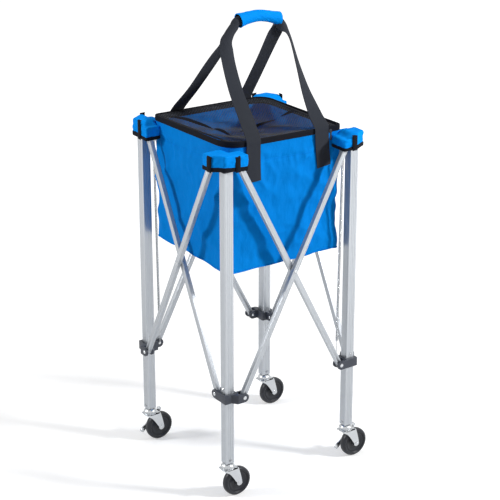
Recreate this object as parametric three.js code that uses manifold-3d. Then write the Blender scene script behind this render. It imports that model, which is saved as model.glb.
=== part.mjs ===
// Tennis ball hopper: a folding square cart on casters with a lift-off cloth bag.
// Units are millimetres, +Z is up and z = 0 is the floor.
// The front of the cart faces -Y. Corners and sides go round from the front left leg,
// and each is the one before it turned a quarter turn, as the real frame is made.

import * as THREE from "three";
import { mergeVertices } from "three/addons/utils/BufferGeometryUtils.js";
import Module from "manifold-3d";

const wasm = await Module();
wasm.setup();

// Names of the corners and sides. Side k runs from corner k to corner k + 1.
const cornerNames = ["front_left", "front_right", "rear_right", "rear_left"];
const sideNames = ["front", "right", "rear", "left"];
const brakedCorners = [1, 3];

// Clearances
const seatGap = 0.3; // between pieces that touch
const slideGap = 0.4; // slider to leg, and bar to clevis wall
const pinGap = 0.3; // pin to hole
const cutOverrun = 2; // how far a cutting shape runs past what it cuts
const headSink = 0.2; // how deep a fused rivet head sits in its plate

// A dome's shoulder, as shares of its radius and height
const domeRadiusShare = 0.7;
const domeHeightShare = 0.8;

// Legs
const legSpacing = 388; // centre to centre, both ways
const legSize = 25;
const legWall = 1.6;
const legLength = 826;
const legCornerRadius = 1.5;

// Scissor bars
const barWidth = 15;
const barDepth = 13;
const barWall = 1.6;
const barCornerRadius = 1.5;
const innerBarFace = 0.4; // inner bar's inner face, outward from the leg's middle plane
const barPlaneGap = 1.2; // between the inner and the outer bar of one side

// Clevises of the sliders and top brackets
const pivotOffset = 32.6; // pivot from the leg's middle, along the side
const clevisWall = 5.2;
const lobeRadius = 12;
const lobeStepRun = 11; // end of the outer lobe's sloped step from the leg's middle, along the side
const slotRootGap = 0.5; // slot's root from the collar's face
const pinRadius = 2.75;
const rivetHeadRadius = 5;
const rivetHeadHeight = 1.6;
const rivetTailRadius = 4;

// Sliders and top brackets
const sliderPivotRise = 189.3; // over the leg's lower end
const sliderHeight = 24;
const collarBevel = 1.5;
const bracketPivotDrop = 13.7; // under the leg's upper end
const bracketSkirt = 11.5; // bracket's lower edge under its pivots
const bracketCapHeight = 9.5; // bracket's top over the leg's upper end

// Lock buttons in the legs
const buttonRise = 214; // over the leg's lower end
const buttonRadius = 3.4;
const buttonProud = 2.6;
const buttonFlangeRadius = 5;
const buttonFlangeThickness = 1.2;
const buttonSpringWidth = 6;
const buttonSpringThickness = 0.8;
const buttonSpringLength = 38;
const buttonSpringSpread = 12;

// Caster stems and their rivets
const plugLength = 34;
const plugRivetRise = 10;
const plugRivetRadius = 2.4;
const plugRivetHeadRadius = 4.2;
const plugRivetHeadHeight = 1.2;
const kingpinRadius = 5;
const kingpinHeadRadius = 8.5;
const kingpinHeadHeight = 3;

// Casters
const wheelRadius = 40;
const wheelWidth = 20;
const wheelShoulder = 4; // rounding of the tyre's edges
const tyreDepth = 9; // tyre's height over the wheel disc
const discRecess = 3.4;
const hubRadius = 10;
const hubWidth = 24;
const axleRadius = 4;
const axleHeadRadius = 6.5;
const axleHeadHeight = 2;
const axleDrop = 62; // wheel's axle under the leg's lower end
const casterTrail = 27; // wheel's axle behind the swivel axis
const raceRadius = 18.7;
const raceDrop = 1; // race's top under the leg's lower end
const raceHeight = 16;
const raceRingHeight = 7;
const raceCrownRadius = 9;
const raceGroove = 1.6;
const yokeBottomDrop = 20;
const forkPlateThickness = 2.5;
const forkSideGap = 1.5; // hub to fork plate
const forkTipRadius = 8.5;
const forkBackRun = 18.7; // yoke's reach in front of the swivel axis

// Brake levers
const leverThickness = 3;
const leverArmWidth = 8;
const leverToeReach = 41; // toe pad from the wheel's axle, along the trail
const leverToeDrop = 10;
const leverHeelReach = 10;
const leverHeelRise = 38;
const leverPadLength = 18;
const leverPadWidth = 14;
const leverPivotRadius = 3;
const leverPivotHeadRadius = 4.5;
const leverPivotHeadHeight = 1.2;
const leverBossRadius = 7;
const leverPivotShare = 0.49; // of the way from the toe to the heel

// Bag
const bagBracketGap = 1; // rim to the top brackets
const bagTaper = 3; // bottom's edge inside the rim's
const bagDepth = 335;
const fabric = 1.5;
const bottomBoard = 2;
const lidFlangeHeight = 10;
const rimRise = 13; // rim over the pockets' tops

// Corner pockets
const pocketFabric = 1.2;
const pocketEndGap = 0.5; // bars to the fabric at the pocket's ends
const pocketHeight = 41;
const pocketCornerRadius = 7;
const pocketHemHeight = 9;
const pocketHemProud = 0.8;
const tabWidth = 14;
const tabProud = 1.8;
const tabAlong = 19.5; // tab's middle from the leg's middle, along the side

// Lid
const lidSag = 14;
const netThickness = 1.2;
const netStrand = 4;
const lidBorder = 12;
const netGapsAcross = 8;
const netGapsAlong = 4;

// Handles and their wrap
const handlePocketGap = 13.8; // front handle's edge to the corner pockets
const handleWidth = 42;
const handleThickness = 2;
const handleFootDrop = 101; // handle's lower end under the rim
const handleRise = 258; // wrap's ends over the rim
const handleInWrapWidth = 20;
const handleInWrapThickness = 4;
const handleInWrapGap = 3.4;
const wrapHalfLength = 66;
const wrapShift = 37; // wrap's middle from the frame's middle, along X
const wrapArch = 10;
const wrapOuterRadius = 15.5;
const wrapWall = 2.2;

// Zip slider
const zipBodyLength = 11;
const zipBodyHeight = 8;
const zipBodyDepth = 4;
const zipPullLength = 24;
const zipPullWidth = 5;
const zipPullDepth = 1.6;

// Worked out from the sizes above
const legBottom = wheelRadius + axleDrop;
const legTop = legBottom + legLength;
const legHalf = legSize / 2;
const sliderPivotZ = legBottom + sliderPivotRise;
const bracketPivotZ = legTop - bracketPivotDrop;
const outerBarFace = innerBarFace + barDepth + barPlaneGap;
const pivotSpan = legSpacing - 2 * pivotOffset;
const pivotHeight = bracketPivotZ - sliderPivotZ;
const barLength = Math.hypot(pivotSpan, pivotHeight);
const collarHalf = innerBarFace + barDepth + slideGap + clevisWall;
const bagHalfTop = legSpacing / 2 - collarHalf - bagBracketGap; // outside, at the rim
const bagHalfBottom = bagHalfTop - bagTaper;
const bracketTop = legTop + bracketCapHeight;
const pocketTop = bracketTop + seatGap + pocketFabric;
const pocketBottom = pocketTop - pocketHeight;
const pocketWrap = rivetHeadHeight + seatGap + pocketFabric; // fabric's outside from the bracket's faces
const pocketOutward = collarHalf + pocketWrap; // outside, from the leg's middle
// The pocket's outside over the outer bar's clevis, from the leg's middle
const pocketBulge = outerBarFace + barDepth + slideGap + clevisWall + pocketWrap;
// The pockets' ends clear the leaning bars where these come out below.
const pocketBarEdge =
  pivotOffset + ((bracketPivotZ - pocketBottom) * pivotSpan + (barWidth / 2) * barLength) / pivotHeight;
const pocketReach = pocketBarEdge + pocketEndGap + pocketFabric;
const rimZ = pocketTop + rimRise;
const wallTop = rimZ - lidFlangeHeight - seatGap;
const bagBottomZ = rimZ - bagDepth;
const axleZ = wheelRadius;
const forkPlateInner = hubWidth / 2 + forkSideGap;
const forkPlateOuter = forkPlateInner + forkPlateThickness;
const pocketEnd = legSpacing / 2 - pocketReach;
const handleHalfSpan = pocketEnd - handlePocketGap - handleWidth / 2;
const wrapZ = rimZ + handleRise;
// The whole cart is set so that the origin is under the middle of its outline on the floor plan.
const frameShift = (pocketBulge + tabProud - casterTrail - wheelRadius) / 2;

const roundSegments = 8; // pins and small rounds
const raceSegments = 16;
const wheelSegments = 24;

const palette = {
  aluminium: { color: 0xc3c6ca, roughness: 0.38, metalness: 0.9 },
  zinc: { color: 0xc9ccd0, roughness: 0.28, metalness: 0.95 },
  plastic: { color: 0x3a3d45, roughness: 0.55, metalness: 0 },
  tyre: { color: 0x17181b, roughness: 0.6, metalness: 0 },
  cloth: { color: 0x0a6fd0, roughness: 0.8, metalness: 0 },
  webbing: { color: 0x3b3e46, roughness: 0.9, metalness: 0 },
  net: { color: 0x1d1f23, roughness: 0.9, metalness: 0 },
};

const cart = new THREE.Group();
cart.position.x = frameShift;

// Geometry helpers

function outward(geometry) {
  const bare = geometry.clone();
  bare.deleteAttribute("normal");
  bare.deleteAttribute("uv");
  const merged = mergeVertices(bare);
  const index = new Uint32Array(merged.index.array);
  const p = merged.attributes.position;
  const corners = [new THREE.Vector3(), new THREE.Vector3(), new THREE.Vector3()];
  let volume = 0;
  for (let i = 0; i < index.length; i += 3) {
    corners.forEach((corner, k) => corner.fromBufferAttribute(p, index[i + k]));
    volume += corners[0].dot(corners[1].clone().cross(corners[2]));
  }
  if (volume < 0) {
    for (let i = 0; i < index.length; i += 3) {
      [index[i], index[i + 1]] = [index[i + 1], index[i]];
    }
  }
  merged.setIndex(new THREE.BufferAttribute(index, 1));
  return merged;
}

function solid(geometry) {
  const closed = outward(geometry);
  const vertProperties = new Float32Array(closed.attributes.position.array);
  const triVerts = new Uint32Array(closed.index.array);
  return new wasm.Manifold(new wasm.Mesh({ numProp: 3, vertProperties, triVerts }));
}

function geometryOf(manifold) {
  const mesh = manifold.getMesh();
  const geometry = new THREE.BufferGeometry();
  const places = new Float32Array(mesh.vertProperties);
  geometry.setAttribute("position", new THREE.BufferAttribute(places, 3));
  geometry.setIndex(new THREE.BufferAttribute(new Uint32Array(mesh.triVerts), 1));
  return geometry;
}

function join(...geometries) {
  const solids = geometries.map(solid);
  return geometryOf(solids.reduce((sum, piece) => sum.add(piece)));
}

function cut(geometry, ...cutters) {
  const left = cutters.map(solid).reduce((rest, cutter) => rest.subtract(cutter), solid(geometry));
  return geometryOf(left);
}

function common(first, second) {
  return geometryOf(solid(first).intersect(solid(second)));
}

function addPiece(name, geometry, look, parent) {
  const material = new THREE.MeshStandardMaterial({ ...palette[look], flatShading: true });
  const mesh = new THREE.Mesh(outward(geometry), material);
  mesh.name = name;
  parent.add(mesh);
  return mesh;
}

function box(x0, x1, y0, y1, z0, z1) {
  const geometry = new THREE.BoxGeometry(x1 - x0, y1 - y0, z1 - z0);
  return geometry.translate((x0 + x1) / 2, (y0 + y1) / 2, (z0 + z1) / 2);
}

function rodAlongY(x, z, radius, y0, y1, segments = roundSegments) {
  const geometry = new THREE.CylinderGeometry(radius, radius, y1 - y0, segments);
  return geometry.translate(x, (y0 + y1) / 2, z);
}

function rodAlongZ(x, y, radius, z0, z1, segments = roundSegments) {
  const geometry = new THREE.CylinderGeometry(radius, radius, z1 - z0, segments);
  return geometry.rotateX(Math.PI / 2).translate(x, y, (z0 + z1) / 2);
}

// A rivet along Y, with its domed head before from and its domed tail after to.
function rivet(x, z, shank, from, head, headHeight, to, tail, tailHeight) {
  const profile = [
    [0, from - headHeight],
    [head * domeRadiusShare, from - headHeight * domeHeightShare],
    [head, from],
    [shank, from],
    [shank, to],
    [tail, to],
    [tail * domeRadiusShare, to + tailHeight * domeHeightShare],
    [0, to + tailHeight],
  ];
  const points = profile.map(([r, y]) => new THREE.Vector2(r, y));
  return new THREE.LatheGeometry(points, roundSegments).translate(x, 0, z);
}

function prism(points, z0, z1) {
  const shape = new THREE.Shape(points);
  const geometry = new THREE.ExtrudeGeometry(shape, { depth: z1 - z0, bevelEnabled: false });
  return geometry.translate(0, 0, z0);
}

// An outline drawn in x and z, thick from y0 to y1.
function uprightPrism(points, y0, y1) {
  const geometry = prism(points, 0, y1 - y0);
  return geometry.rotateX(Math.PI / 2).translate(0, y1, 0);
}

// An outline drawn in y and z, thick from x0 to x1.
function acrossPrism(points, x0, x1) {
  const xAxis = new THREE.Vector3(1, 0, 0);
  const yAxis = new THREE.Vector3(0, 1, 0);
  const zAxis = new THREE.Vector3(0, 0, 1);
  return prism(points, x0, x1).applyMatrix4(new THREE.Matrix4().makeBasis(yAxis, zAxis, xAxis));
}

// Swaps x and y, which takes a shape on one side of a leg to the leg's other side.
function swapSides(geometry) {
  const swap = new THREE.Matrix4().set(0, 1, 0, 0, 1, 0, 0, 0, 0, 0, 1, 0, 0, 0, 0, 1);
  return outward(geometry).applyMatrix4(swap);
}

function arc(x, y, radius, from, to, steps) {
  return Array.from({ length: steps + 1 }, (_, i) => {
    const angle = from + ((to - from) * i) / steps;
    return new THREE.Vector2(x + radius * Math.cos(angle), y + radius * Math.sin(angle));
  });
}

function roundedRectangle(x0, x1, y0, y1, radius, steps = 2) {
  const quarter = Math.PI / 2;
  return [
    ...arc(x1 - radius, y0 + radius, radius, -quarter, 0, steps),
    ...arc(x1 - radius, y1 - radius, radius, 0, quarter, steps),
    ...arc(x0 + radius, y1 - radius, radius, quarter, 2 * quarter, steps),
    ...arc(x0 + radius, y0 + radius, radius, 2 * quarter, 3 * quarter, steps),
  ];
}

function rectangle(x0, x1, y0, y1) {
  return [
    new THREE.Vector2(x0, y0),
    new THREE.Vector2(x1, y0),
    new THREE.Vector2(x1, y1),
    new THREE.Vector2(x0, y1),
  ];
}

// The section of a rectangular tube with round outer corners.
function hollowSection(width, depth, radius, wall, steps) {
  const [x, y] = [width / 2, depth / 2];
  const section = new THREE.Shape(roundedRectangle(-x, x, -y, y, radius, steps));
  section.holes.push(new THREE.Path(rectangle(-x + wall, x - wall, -y + wall, y - wall)));
  return section;
}

// A bar's outline with round ends, from one pivot to another.
function stadium(length, radius, steps = 4) {
  const quarter = Math.PI / 2;
  return [
    ...arc(0, 0, radius, quarter, 3 * quarter, steps),
    ...arc(length, 0, radius, -quarter, quarter, steps),
  ];
}

// Joins rings of as many points each. Open rows of rings get flat caps.
function loft(rings, closed = false) {
  const count = rings[0].length;
  const places = rings.flat().flatMap((p) => [p.x, p.y, p.z]);
  const index = [];
  const spans = closed ? rings.length : rings.length - 1;
  for (let r = 0; r < spans; r += 1) {
    const next = (r + 1) % rings.length;
    for (let i = 0; i < count; i += 1) {
      const j = (i + 1) % count;
      index.push(r * count + i, r * count + j, next * count + j);
      index.push(r * count + i, next * count + j, next * count + i);
    }
  }
  if (!closed) {
    const last = (rings.length - 1) * count;
    for (let i = 1; i < count - 1; i += 1) {
      index.push(0, i + 1, i);
      index.push(last, last + i, last + i + 1);
    }
  }
  const geometry = new THREE.BufferGeometry();
  geometry.setAttribute("position", new THREE.Float32BufferAttribute(places, 3));
  geometry.setIndex(index);
  return geometry;
}

// Groups that stand each corner and side in its place

function cornerGroup(k) {
  const turned = new THREE.Group();
  turned.rotation.z = (k * Math.PI) / 2;
  const atLeg = new THREE.Group();
  atLeg.position.set(-legSpacing / 2, -legSpacing / 2, 0);
  turned.add(atLeg);
  cart.add(turned);
  return atLeg;
}

function casterGroup(k) {
  const place = new THREE.Vector3(-legSpacing / 2, -legSpacing / 2, 0);
  place.applyAxisAngle(new THREE.Vector3(0, 0, 1), (k * Math.PI) / 2);
  const group = new THREE.Group();
  group.position.copy(place);
  cart.add(group);
  return group;
}

// Frame pieces, each drawn at the front left leg with the leg's middle at x = y = 0

function legGeometry() {
  const shape = hollowSection(legSize, legSize, legCornerRadius, legWall, 2);
  const tube = new THREE.ExtrudeGeometry(shape, { depth: legLength, bevelEnabled: false });
  tube.translate(0, 0, legBottom);
  const reach = legHalf + cutOverrun;
  const rivetHole = rodAlongY(0, legBottom + plugRivetRise, plugRivetRadius + pinGap, -reach, reach);
  const buttonHole = rodAlongY(0, legBottom + buttonRise, buttonRadius + pinGap, -reach, 0);
  return cut(tube, rivetHole, swapSides(buttonHole));
}

function frameRivet(x, z, headY, tailY) {
  return rivet(
    ...[x, z, pinRadius],
    ...[headY, rivetHeadRadius, rivetHeadHeight],
    ...[tailY, rivetTailRadius, rivetHeadHeight],
  );
}

// Faces of a clevis, as distances outward from the leg's middle plane.
function clevisFaces(barFace) {
  const gapStart = barFace - slideGap;
  const gapEnd = barFace + barDepth + slideGap;
  return { inside: gapStart - clevisWall, gapStart, gapEnd, outside: gapEnd + clevisWall };
}

// One clevis on the leg's front side with its riveted pin, minus the slot for the bar.
function clevisParts(barFace, pivotZ, below, above) {
  const faces = clevisFaces(barFace);
  const end = pivotOffset + lobeRadius;
  const side = [
    new THREE.Vector2(0, pivotZ - below),
    ...arc(pivotOffset, pivotZ, lobeRadius, -Math.PI / 2, Math.PI / 2, 4),
    new THREE.Vector2(0, pivotZ + above),
  ];
  const plan = [
    new THREE.Vector2(0, -faces.inside),
    new THREE.Vector2(0, -Math.min(collarHalf, faces.outside)),
    new THREE.Vector2(lobeStepRun, -faces.outside),
    new THREE.Vector2(end, -faces.outside),
    new THREE.Vector2(end, -faces.inside),
  ];
  const low = pivotZ - below - cutOverrun;
  const high = pivotZ + above + cutOverrun;
  const lobe = common(
    uprightPrism(side, -faces.outside - cutOverrun, -faces.inside + cutOverrun),
    prism(plan, low, high),
  );
  const slotRoot = collarHalf + slotRootGap;
  const slot = box(slotRoot, end + cutOverrun, -faces.gapEnd, -faces.gapStart, low, high);
  const headY = -faces.outside + headSink;
  const tailY = -faces.inside - headSink;
  const pin = frameRivet(pivotOffset, pivotZ, headY, tailY);
  return { lobe, slot, pin };
}

// A collar on the leg with one clevis to each side.
function collarWithClevises(frontFace, leftFace, pivotZ, bottom, top, holeTop) {
  const outline = rectangle(-collarHalf, collarHalf, -collarHalf, collarHalf);
  const shoulder = collarHalf - collarBevel;
  const raised = rectangle(-shoulder, shoulder, -shoulder, shoulder);
  const ring = (points, z) => points.map((p) => new THREE.Vector3(p.x, p.y, z));
  const collar = loft([
    ring(outline, bottom),
    ring(outline, top - collarBevel),
    ring(raised, top),
  ]);
  const below = Math.min(pivotZ - bottom, lobeRadius);
  const front = clevisParts(frontFace, pivotZ, below, lobeRadius);
  const left = clevisParts(leftFace, pivotZ, below, lobeRadius);
  const hole = legHalf + slideGap;
  const body = cut(
    join(collar, front.lobe, swapSides(left.lobe)),
    front.slot,
    swapSides(left.slot),
    box(-hole, hole, -hole, hole, bottom - cutOverrun, holeTop),
  );
  return join(body, front.pin, swapSides(left.pin));
}

function sliderGeometry() {
  const bottom = sliderPivotZ - sliderHeight / 2;
  const top = sliderPivotZ + sliderHeight / 2;
  const through = top + cutOverrun;
  return collarWithClevises(outerBarFace, innerBarFace, sliderPivotZ, bottom, top, through);
}

function bracketGeometry() {
  const bottom = bracketPivotZ - bracketSkirt;
  const holeTop = legTop + seatGap;
  return collarWithClevises(innerBarFace, outerBarFace, bracketPivotZ, bottom, bracketTop, holeTop);
}

// The button's plunger, its flange inside the tube and the leaf spring behind it.
function lockButtonGeometry() {
  const z = legBottom + buttonRise;
  const flangeOut = -(legHalf - legWall - seatGap);
  const flangeIn = flangeOut + buttonFlangeThickness;
  const profile = [
    [0, -legHalf - buttonProud],
    [buttonRadius * domeRadiusShare, -legHalf - buttonProud * domeHeightShare],
    [buttonRadius, -legHalf - buttonProud / 2],
    [buttonRadius, flangeOut],
    [buttonFlangeRadius, flangeOut],
    [buttonFlangeRadius, flangeIn],
    [0, flangeIn],
  ];
  const plunger = new THREE.LatheGeometry(
    profile.map(([r, y]) => new THREE.Vector2(r, y)),
    roundSegments,
  );
  const half = buttonSpringThickness / 2;
  const near = flangeIn - half;
  const far = near + buttonSpringSpread;
  const bend = z - buttonSpringLength;
  const leaf = [
    new THREE.Vector2(near - half, z),
    new THREE.Vector2(near - half, bend - half),
    new THREE.Vector2(near + half, bend - half),
    new THREE.Vector2(far + half, z),
    new THREE.Vector2(far - half, z),
    new THREE.Vector2(near + half, bend + half),
    new THREE.Vector2(near + half, z),
  ];
  const spring = acrossPrism(leaf, -buttonSpringWidth / 2, buttonSpringWidth / 2);
  return swapSides(join(plunger.translate(0, 0, z), spring));
}

// The plug in the tube's end with its rivet, and the kingpin that the caster turns on.
function casterStemGeometry() {
  const half = legHalf - legWall - seatGap;
  const outline = roundedRectangle(-half, half, -half, half, legWall / 2, 1);
  const plug = prism(outline, legBottom, legBottom + plugLength);
  const rivetZ = legBottom + plugRivetRise;
  const face = legHalf + seatGap;
  const kingpinBottom = legBottom - yokeBottomDrop - seatGap - kingpinHeadHeight;
  return join(
    plug,
    rivet(
      ...[0, rivetZ, plugRivetRadius],
      ...[-face, plugRivetHeadRadius, plugRivetHeadHeight],
      ...[face, plugRivetHeadRadius, plugRivetHeadHeight],
    ),
    rodAlongZ(0, 0, kingpinRadius, kingpinBottom, legBottom + plugLength / 2),
    rodAlongZ(0, 0, kingpinHeadRadius, kingpinBottom, kingpinBottom + kingpinHeadHeight),
  );
}

function barGeometry(lowX, lowZ, highX, highZ, face) {
  const radius = barWidth / 2;
  const section = hollowSection(barWidth, barDepth, barCornerRadius, barWall, 1);
  const run = barLength + 2 * (radius + cutOverrun);
  const tube = new THREE.ExtrudeGeometry(section, { depth: run, bevelEnabled: false });
  tube.translate(0, 0, -radius - cutOverrun);
  const middle = barLength / 2;
  const outline = stadium(barLength, radius).map((p) => new THREE.Vector2(-p.y, p.x));
  const blank = uprightPrism(outline, -barDepth / 2 - cutOverrun, barDepth / 2 + cutOverrun);
  const holes = [0, middle, barLength].map((z) =>
    rodAlongY(0, z, pinRadius + pinGap, -barDepth, barDepth),
  );
  const bar = cut(common(tube, blank), ...holes);
  const lean = Math.atan2(highX - lowX, highZ - lowZ);
  return bar.rotateY(lean).translate(lowX, -face - barDepth / 2, lowZ);
}

// The rivet at a side's crossing, with the washer between the two bars.
function crossingRivetGeometry() {
  const x = legSpacing / 2;
  const z = (sliderPivotZ + bracketPivotZ) / 2;
  const outerFace = -(outerBarFace + barDepth + seatGap);
  const innerFace = -(innerBarFace - seatGap);
  const washerThickness = barPlaneGap - 2 * seatGap;
  const washerFace = -(outerBarFace - seatGap);
  const washer = rodAlongY(x, z, rivetHeadRadius, washerFace, washerFace + washerThickness);
  return join(frameRivet(x, z, outerFace, innerFace), washer);
}

// Caster pieces, drawn with the swivel axis at x = y = 0 and the wheel trailing towards +X

function wheelGeometry() {
  const fullRadius = wheelRadius / Math.cos(Math.PI / wheelSegments);
  const half = wheelWidth / 2;
  const discRadius = wheelRadius - tyreDepth;
  const disc = half - discRecess;
  const bore = axleRadius + pinGap;
  const edge = [
    [bore, hubWidth / 2],
    [hubRadius, hubWidth / 2],
    [hubRadius, disc],
    [discRadius, disc],
    [discRadius, half],
    [fullRadius - wheelShoulder, half],
    [fullRadius, half - wheelShoulder],
  ];
  const far = edge.map(([r, y]) => [r, -y]).reverse();
  const profile = [...edge, ...far, edge[0]].map(([r, y]) => new THREE.Vector2(r, y));
  const wheel = new THREE.LatheGeometry(profile, wheelSegments, Math.PI / wheelSegments);
  return wheel.translate(casterTrail, 0, axleZ);
}

function forkOutline() {
  const yokeTop = legBottom - raceDrop - raceHeight + raceGroove;
  const yokeBottom = legBottom - yokeBottomDrop;
  const tip = arc(casterTrail, axleZ, forkTipRadius, -Math.PI * 0.75, Math.PI * 0.02, 5);
  return [
    new THREE.Vector2(-forkBackRun, yokeTop - raceGroove),
    new THREE.Vector2(-forkBackRun, yokeBottom),
    new THREE.Vector2(-forkBackRun / 2, yokeBottom - forkTipRadius / 3),
    ...tip,
    new THREE.Vector2(raceRadius + forkTipRadius / 2, yokeTop - raceGroove / 2),
    new THREE.Vector2(raceRadius, yokeTop),
  ];
}

function leverPivot() {
  const x = -leverToeReach + (leverToeReach + leverHeelReach) * leverPivotShare;
  const z = -leverToeDrop + (leverToeDrop + leverHeelRise) * leverPivotShare;
  return new THREE.Vector2(casterTrail + x, axleZ + z);
}

function forkGeometry(braked) {
  const top = legBottom - raceDrop;
  const yokeBottom = legBottom - yokeBottomDrop;
  const bore = kingpinRadius + pinGap;
  const raceLow = top - raceHeight;
  const ringTop = raceLow + raceRingHeight;
  const raceProfile = [
    [bore, top],
    [raceCrownRadius, top],
    [raceRadius * domeRadiusShare, ringTop + (top - ringTop) * domeHeightShare],
    [raceRadius, ringTop],
    [raceRadius, raceLow + raceGroove],
    [raceRadius - raceGroove, raceLow],
    [bore, raceLow],
    [bore, top],
  ];
  const race = new THREE.LatheGeometry(
    raceProfile.map(([r, z]) => new THREE.Vector2(r, z)),
    raceSegments,
  );
  race.rotateX(Math.PI / 2);
  const plates = uprightPrism(forkOutline(), -forkPlateOuter, forkPlateOuter);
  const between = box(
    -forkBackRun - cutOverrun,
    2 * wheelRadius,
    -forkPlateInner,
    forkPlateInner,
    axleZ - wheelRadius,
    yokeBottom,
  );
  const holeEnds = [yokeBottom - cutOverrun, top + cutOverrun];
  const kingpinHole = rodAlongZ(0, 0, bore, ...holeEnds, raceSegments);
  const pieces = [
    cut(plates, between, kingpinHole),
    race,
    rivet(
      ...[casterTrail, axleZ, axleRadius],
      ...[-forkPlateOuter + headSink, axleHeadRadius, axleHeadHeight],
      ...[forkPlateOuter - headSink, axleHeadRadius, axleHeadHeight],
    ),
  ];
  if (braked) {
    const pivot = leverPivot();
    const leverFace = forkPlateOuter + 2 * seatGap + leverThickness;
    pieces.push(
      rodAlongY(pivot.x, pivot.y, leverBossRadius, forkPlateInner, forkPlateOuter),
      rivet(
        ...[pivot.x, pivot.y, leverPivotRadius],
        ...[forkPlateInner + headSink, leverPivotRadius, headSink / 2],
        ...[leverFace, leverPivotHeadRadius, leverPivotHeadHeight],
      ),
    );
  }
  return join(...pieces);
}

// A flat double-ended lever on the fork's side, with a broad pad at each end.
function brakeLeverGeometry() {
  const toe = new THREE.Vector2(casterTrail - leverToeReach, axleZ - leverToeDrop);
  const heel = new THREE.Vector2(casterTrail + leverHeelReach, axleZ + leverHeelRise);
  const angle = heel.clone().sub(toe).angle();
  const length = heel.distanceTo(toe);
  const pivot = leverPivot();
  const arm = leverArmWidth / 2;
  const pad = leverPadWidth / 2;
  const padCorner = pad / 2;
  const reach = leverPadLength / 2;
  const atEnd = (x) => roundedRectangle(x - reach, x + reach, -pad, pad, padCorner);
  const origin = new THREE.Vector2();
  const place = (points) => points.map((p) => p.clone().rotateAround(origin, angle).add(toe));
  const y0 = forkPlateOuter + seatGap;
  const y1 = y0 + leverThickness;
  const middle = pivot.distanceTo(toe);
  const blank = join(
    uprightPrism(place(atEnd(0)), y0, y1),
    uprightPrism(place(atEnd(length)), y0, y1),
    uprightPrism(place(roundedRectangle(0, length, -arm, arm, arm / 2, 1)), y0, y1),
    uprightPrism(place(arc(middle, 0, leverBossRadius, 0, 2 * Math.PI, roundSegments).slice(1)), y0, y1),
  );
  const hole = rodAlongY(pivot.x, pivot.y, leverPivotRadius + pinGap, y0 - cutOverrun, y1 + cutOverrun);
  return cut(blank, hole);
}

// Bag pieces

function wallHalfAt(z) {
  return bagHalfBottom + ((bagHalfTop - bagHalfBottom) * (z - bagBottomZ)) / bagDepth;
}

// A front wall: wider at the rim than at the bottom, and butted against its two neighbours.
function wallGeometry() {
  const ring = (z, half) =>
    [
      [-half, -half],
      [half - fabric - seatGap, -half],
      [half - fabric - seatGap, -half + fabric],
      [-half, -half + fabric],
    ].map(([x, y]) => new THREE.Vector3(x, y, z));
  return loft([ring(bagBottomZ, bagHalfBottom), ring(wallTop, wallHalfAt(wallTop))]);
}

function bottomGeometry() {
  const half = bagHalfBottom - fabric - seatGap;
  return box(-half, half, -half, half, bagBottomZ, bagBottomZ + bottomBoard);
}

// A cap that slips over the leg's top and bracket, open below and against the bag's corner. It lies
// close round the leg and bulges over the outer bar's clevis.
function pocketGeometry() {
  const inner = legSpacing / 2 - bagHalfTop - seatGap;
  const bend = pocketCornerRadius;
  const outerSide = (proud) => {
    const middle = bend - pocketOutward;
    return [
      new THREE.Vector2(-pocketBulge - proud, pocketReach + proud),
      new THREE.Vector2(-pocketBulge - proud, lobeStepRun),
      ...arc(middle, middle, bend + proud, Math.PI, Math.PI * 1.5, 2),
      new THREE.Vector2(pocketReach + proud, -pocketOutward - proud),
    ];
  };
  const outline = (proud) => [
    ...outerSide(proud),
    new THREE.Vector2(pocketReach + proud, inner),
    new THREE.Vector2(inner, inner),
    new THREE.Vector2(inner, pocketReach + proud),
  ];
  const shell = prism(outline(0), pocketBottom, pocketTop);
  const hem = prism(outline(pocketHemProud), pocketBottom, pocketBottom + pocketHemHeight);
  const tabBand = prism(outline(tabProud), pocketBottom, pocketTop);
  const far = 2 * pocketBulge;
  const low = tabAlong - tabWidth / 2;
  const strip = box(low, low + tabWidth, -far, 0, pocketBottom, pocketTop);
  const tabs = join(common(tabBand, strip), common(tabBand, swapSides(strip)));
  const reach = pocketReach - pocketFabric;
  const cavity = prism(
    [...outerSide(-pocketFabric), new THREE.Vector2(reach, reach)],
    pocketBottom - cutOverrun,
    pocketTop - pocketFabric,
  );
  return cut(join(shell, hem, tabs), cavity);
}

// Half of the sagging net lid, from the frame's middle line to the front or rear rim.
function lidGeometry(rear) {
  const half = bagHalfTop;
  const low = rear ? seatGap / 2 : -half;
  const high = rear ? half : -seatGap / 2;
  const strandEdges = (from, to, gaps, firstBorder, lastBorder) => {
    const edges = [from, from + firstBorder];
    const pitch = (to - lastBorder - from - firstBorder + netStrand) / gaps;
    for (let i = 1; i < gaps; i += 1) {
      const end = from + firstBorder + i * pitch;
      edges.push(end - netStrand, end);
    }
    edges.push(to - lastBorder, to);
    return edges;
  };
  const xs = strandEdges(-half, half, netGapsAcross, lidBorder, lidBorder);
  const ys = rear
    ? strandEdges(low, high, netGapsAlong, netStrand / 2, lidBorder)
    : strandEdges(low, high, netGapsAlong, lidBorder, netStrand / 2);
  const sag = (x, y) => lidSag * (1 - (x / half) ** 2) * (1 - (y / half) ** 2);
  const net = perforatedSheet(xs, ys, (x, y) => rimZ - sag(x, y), netThickness);
  const flangeBottom = rimZ - lidFlangeHeight;
  const sides = box(-half, half, low, high, flangeBottom, rimZ - netThickness / 2);
  const inset = fabric;
  const opening = box(
    -half + inset,
    half - inset,
    rear ? low - cutOverrun : low + inset,
    rear ? high - inset : high + cutOverrun,
    flangeBottom - cutOverrun,
    rimZ,
  );
  return join(net, cut(sides, opening));
}

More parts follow.
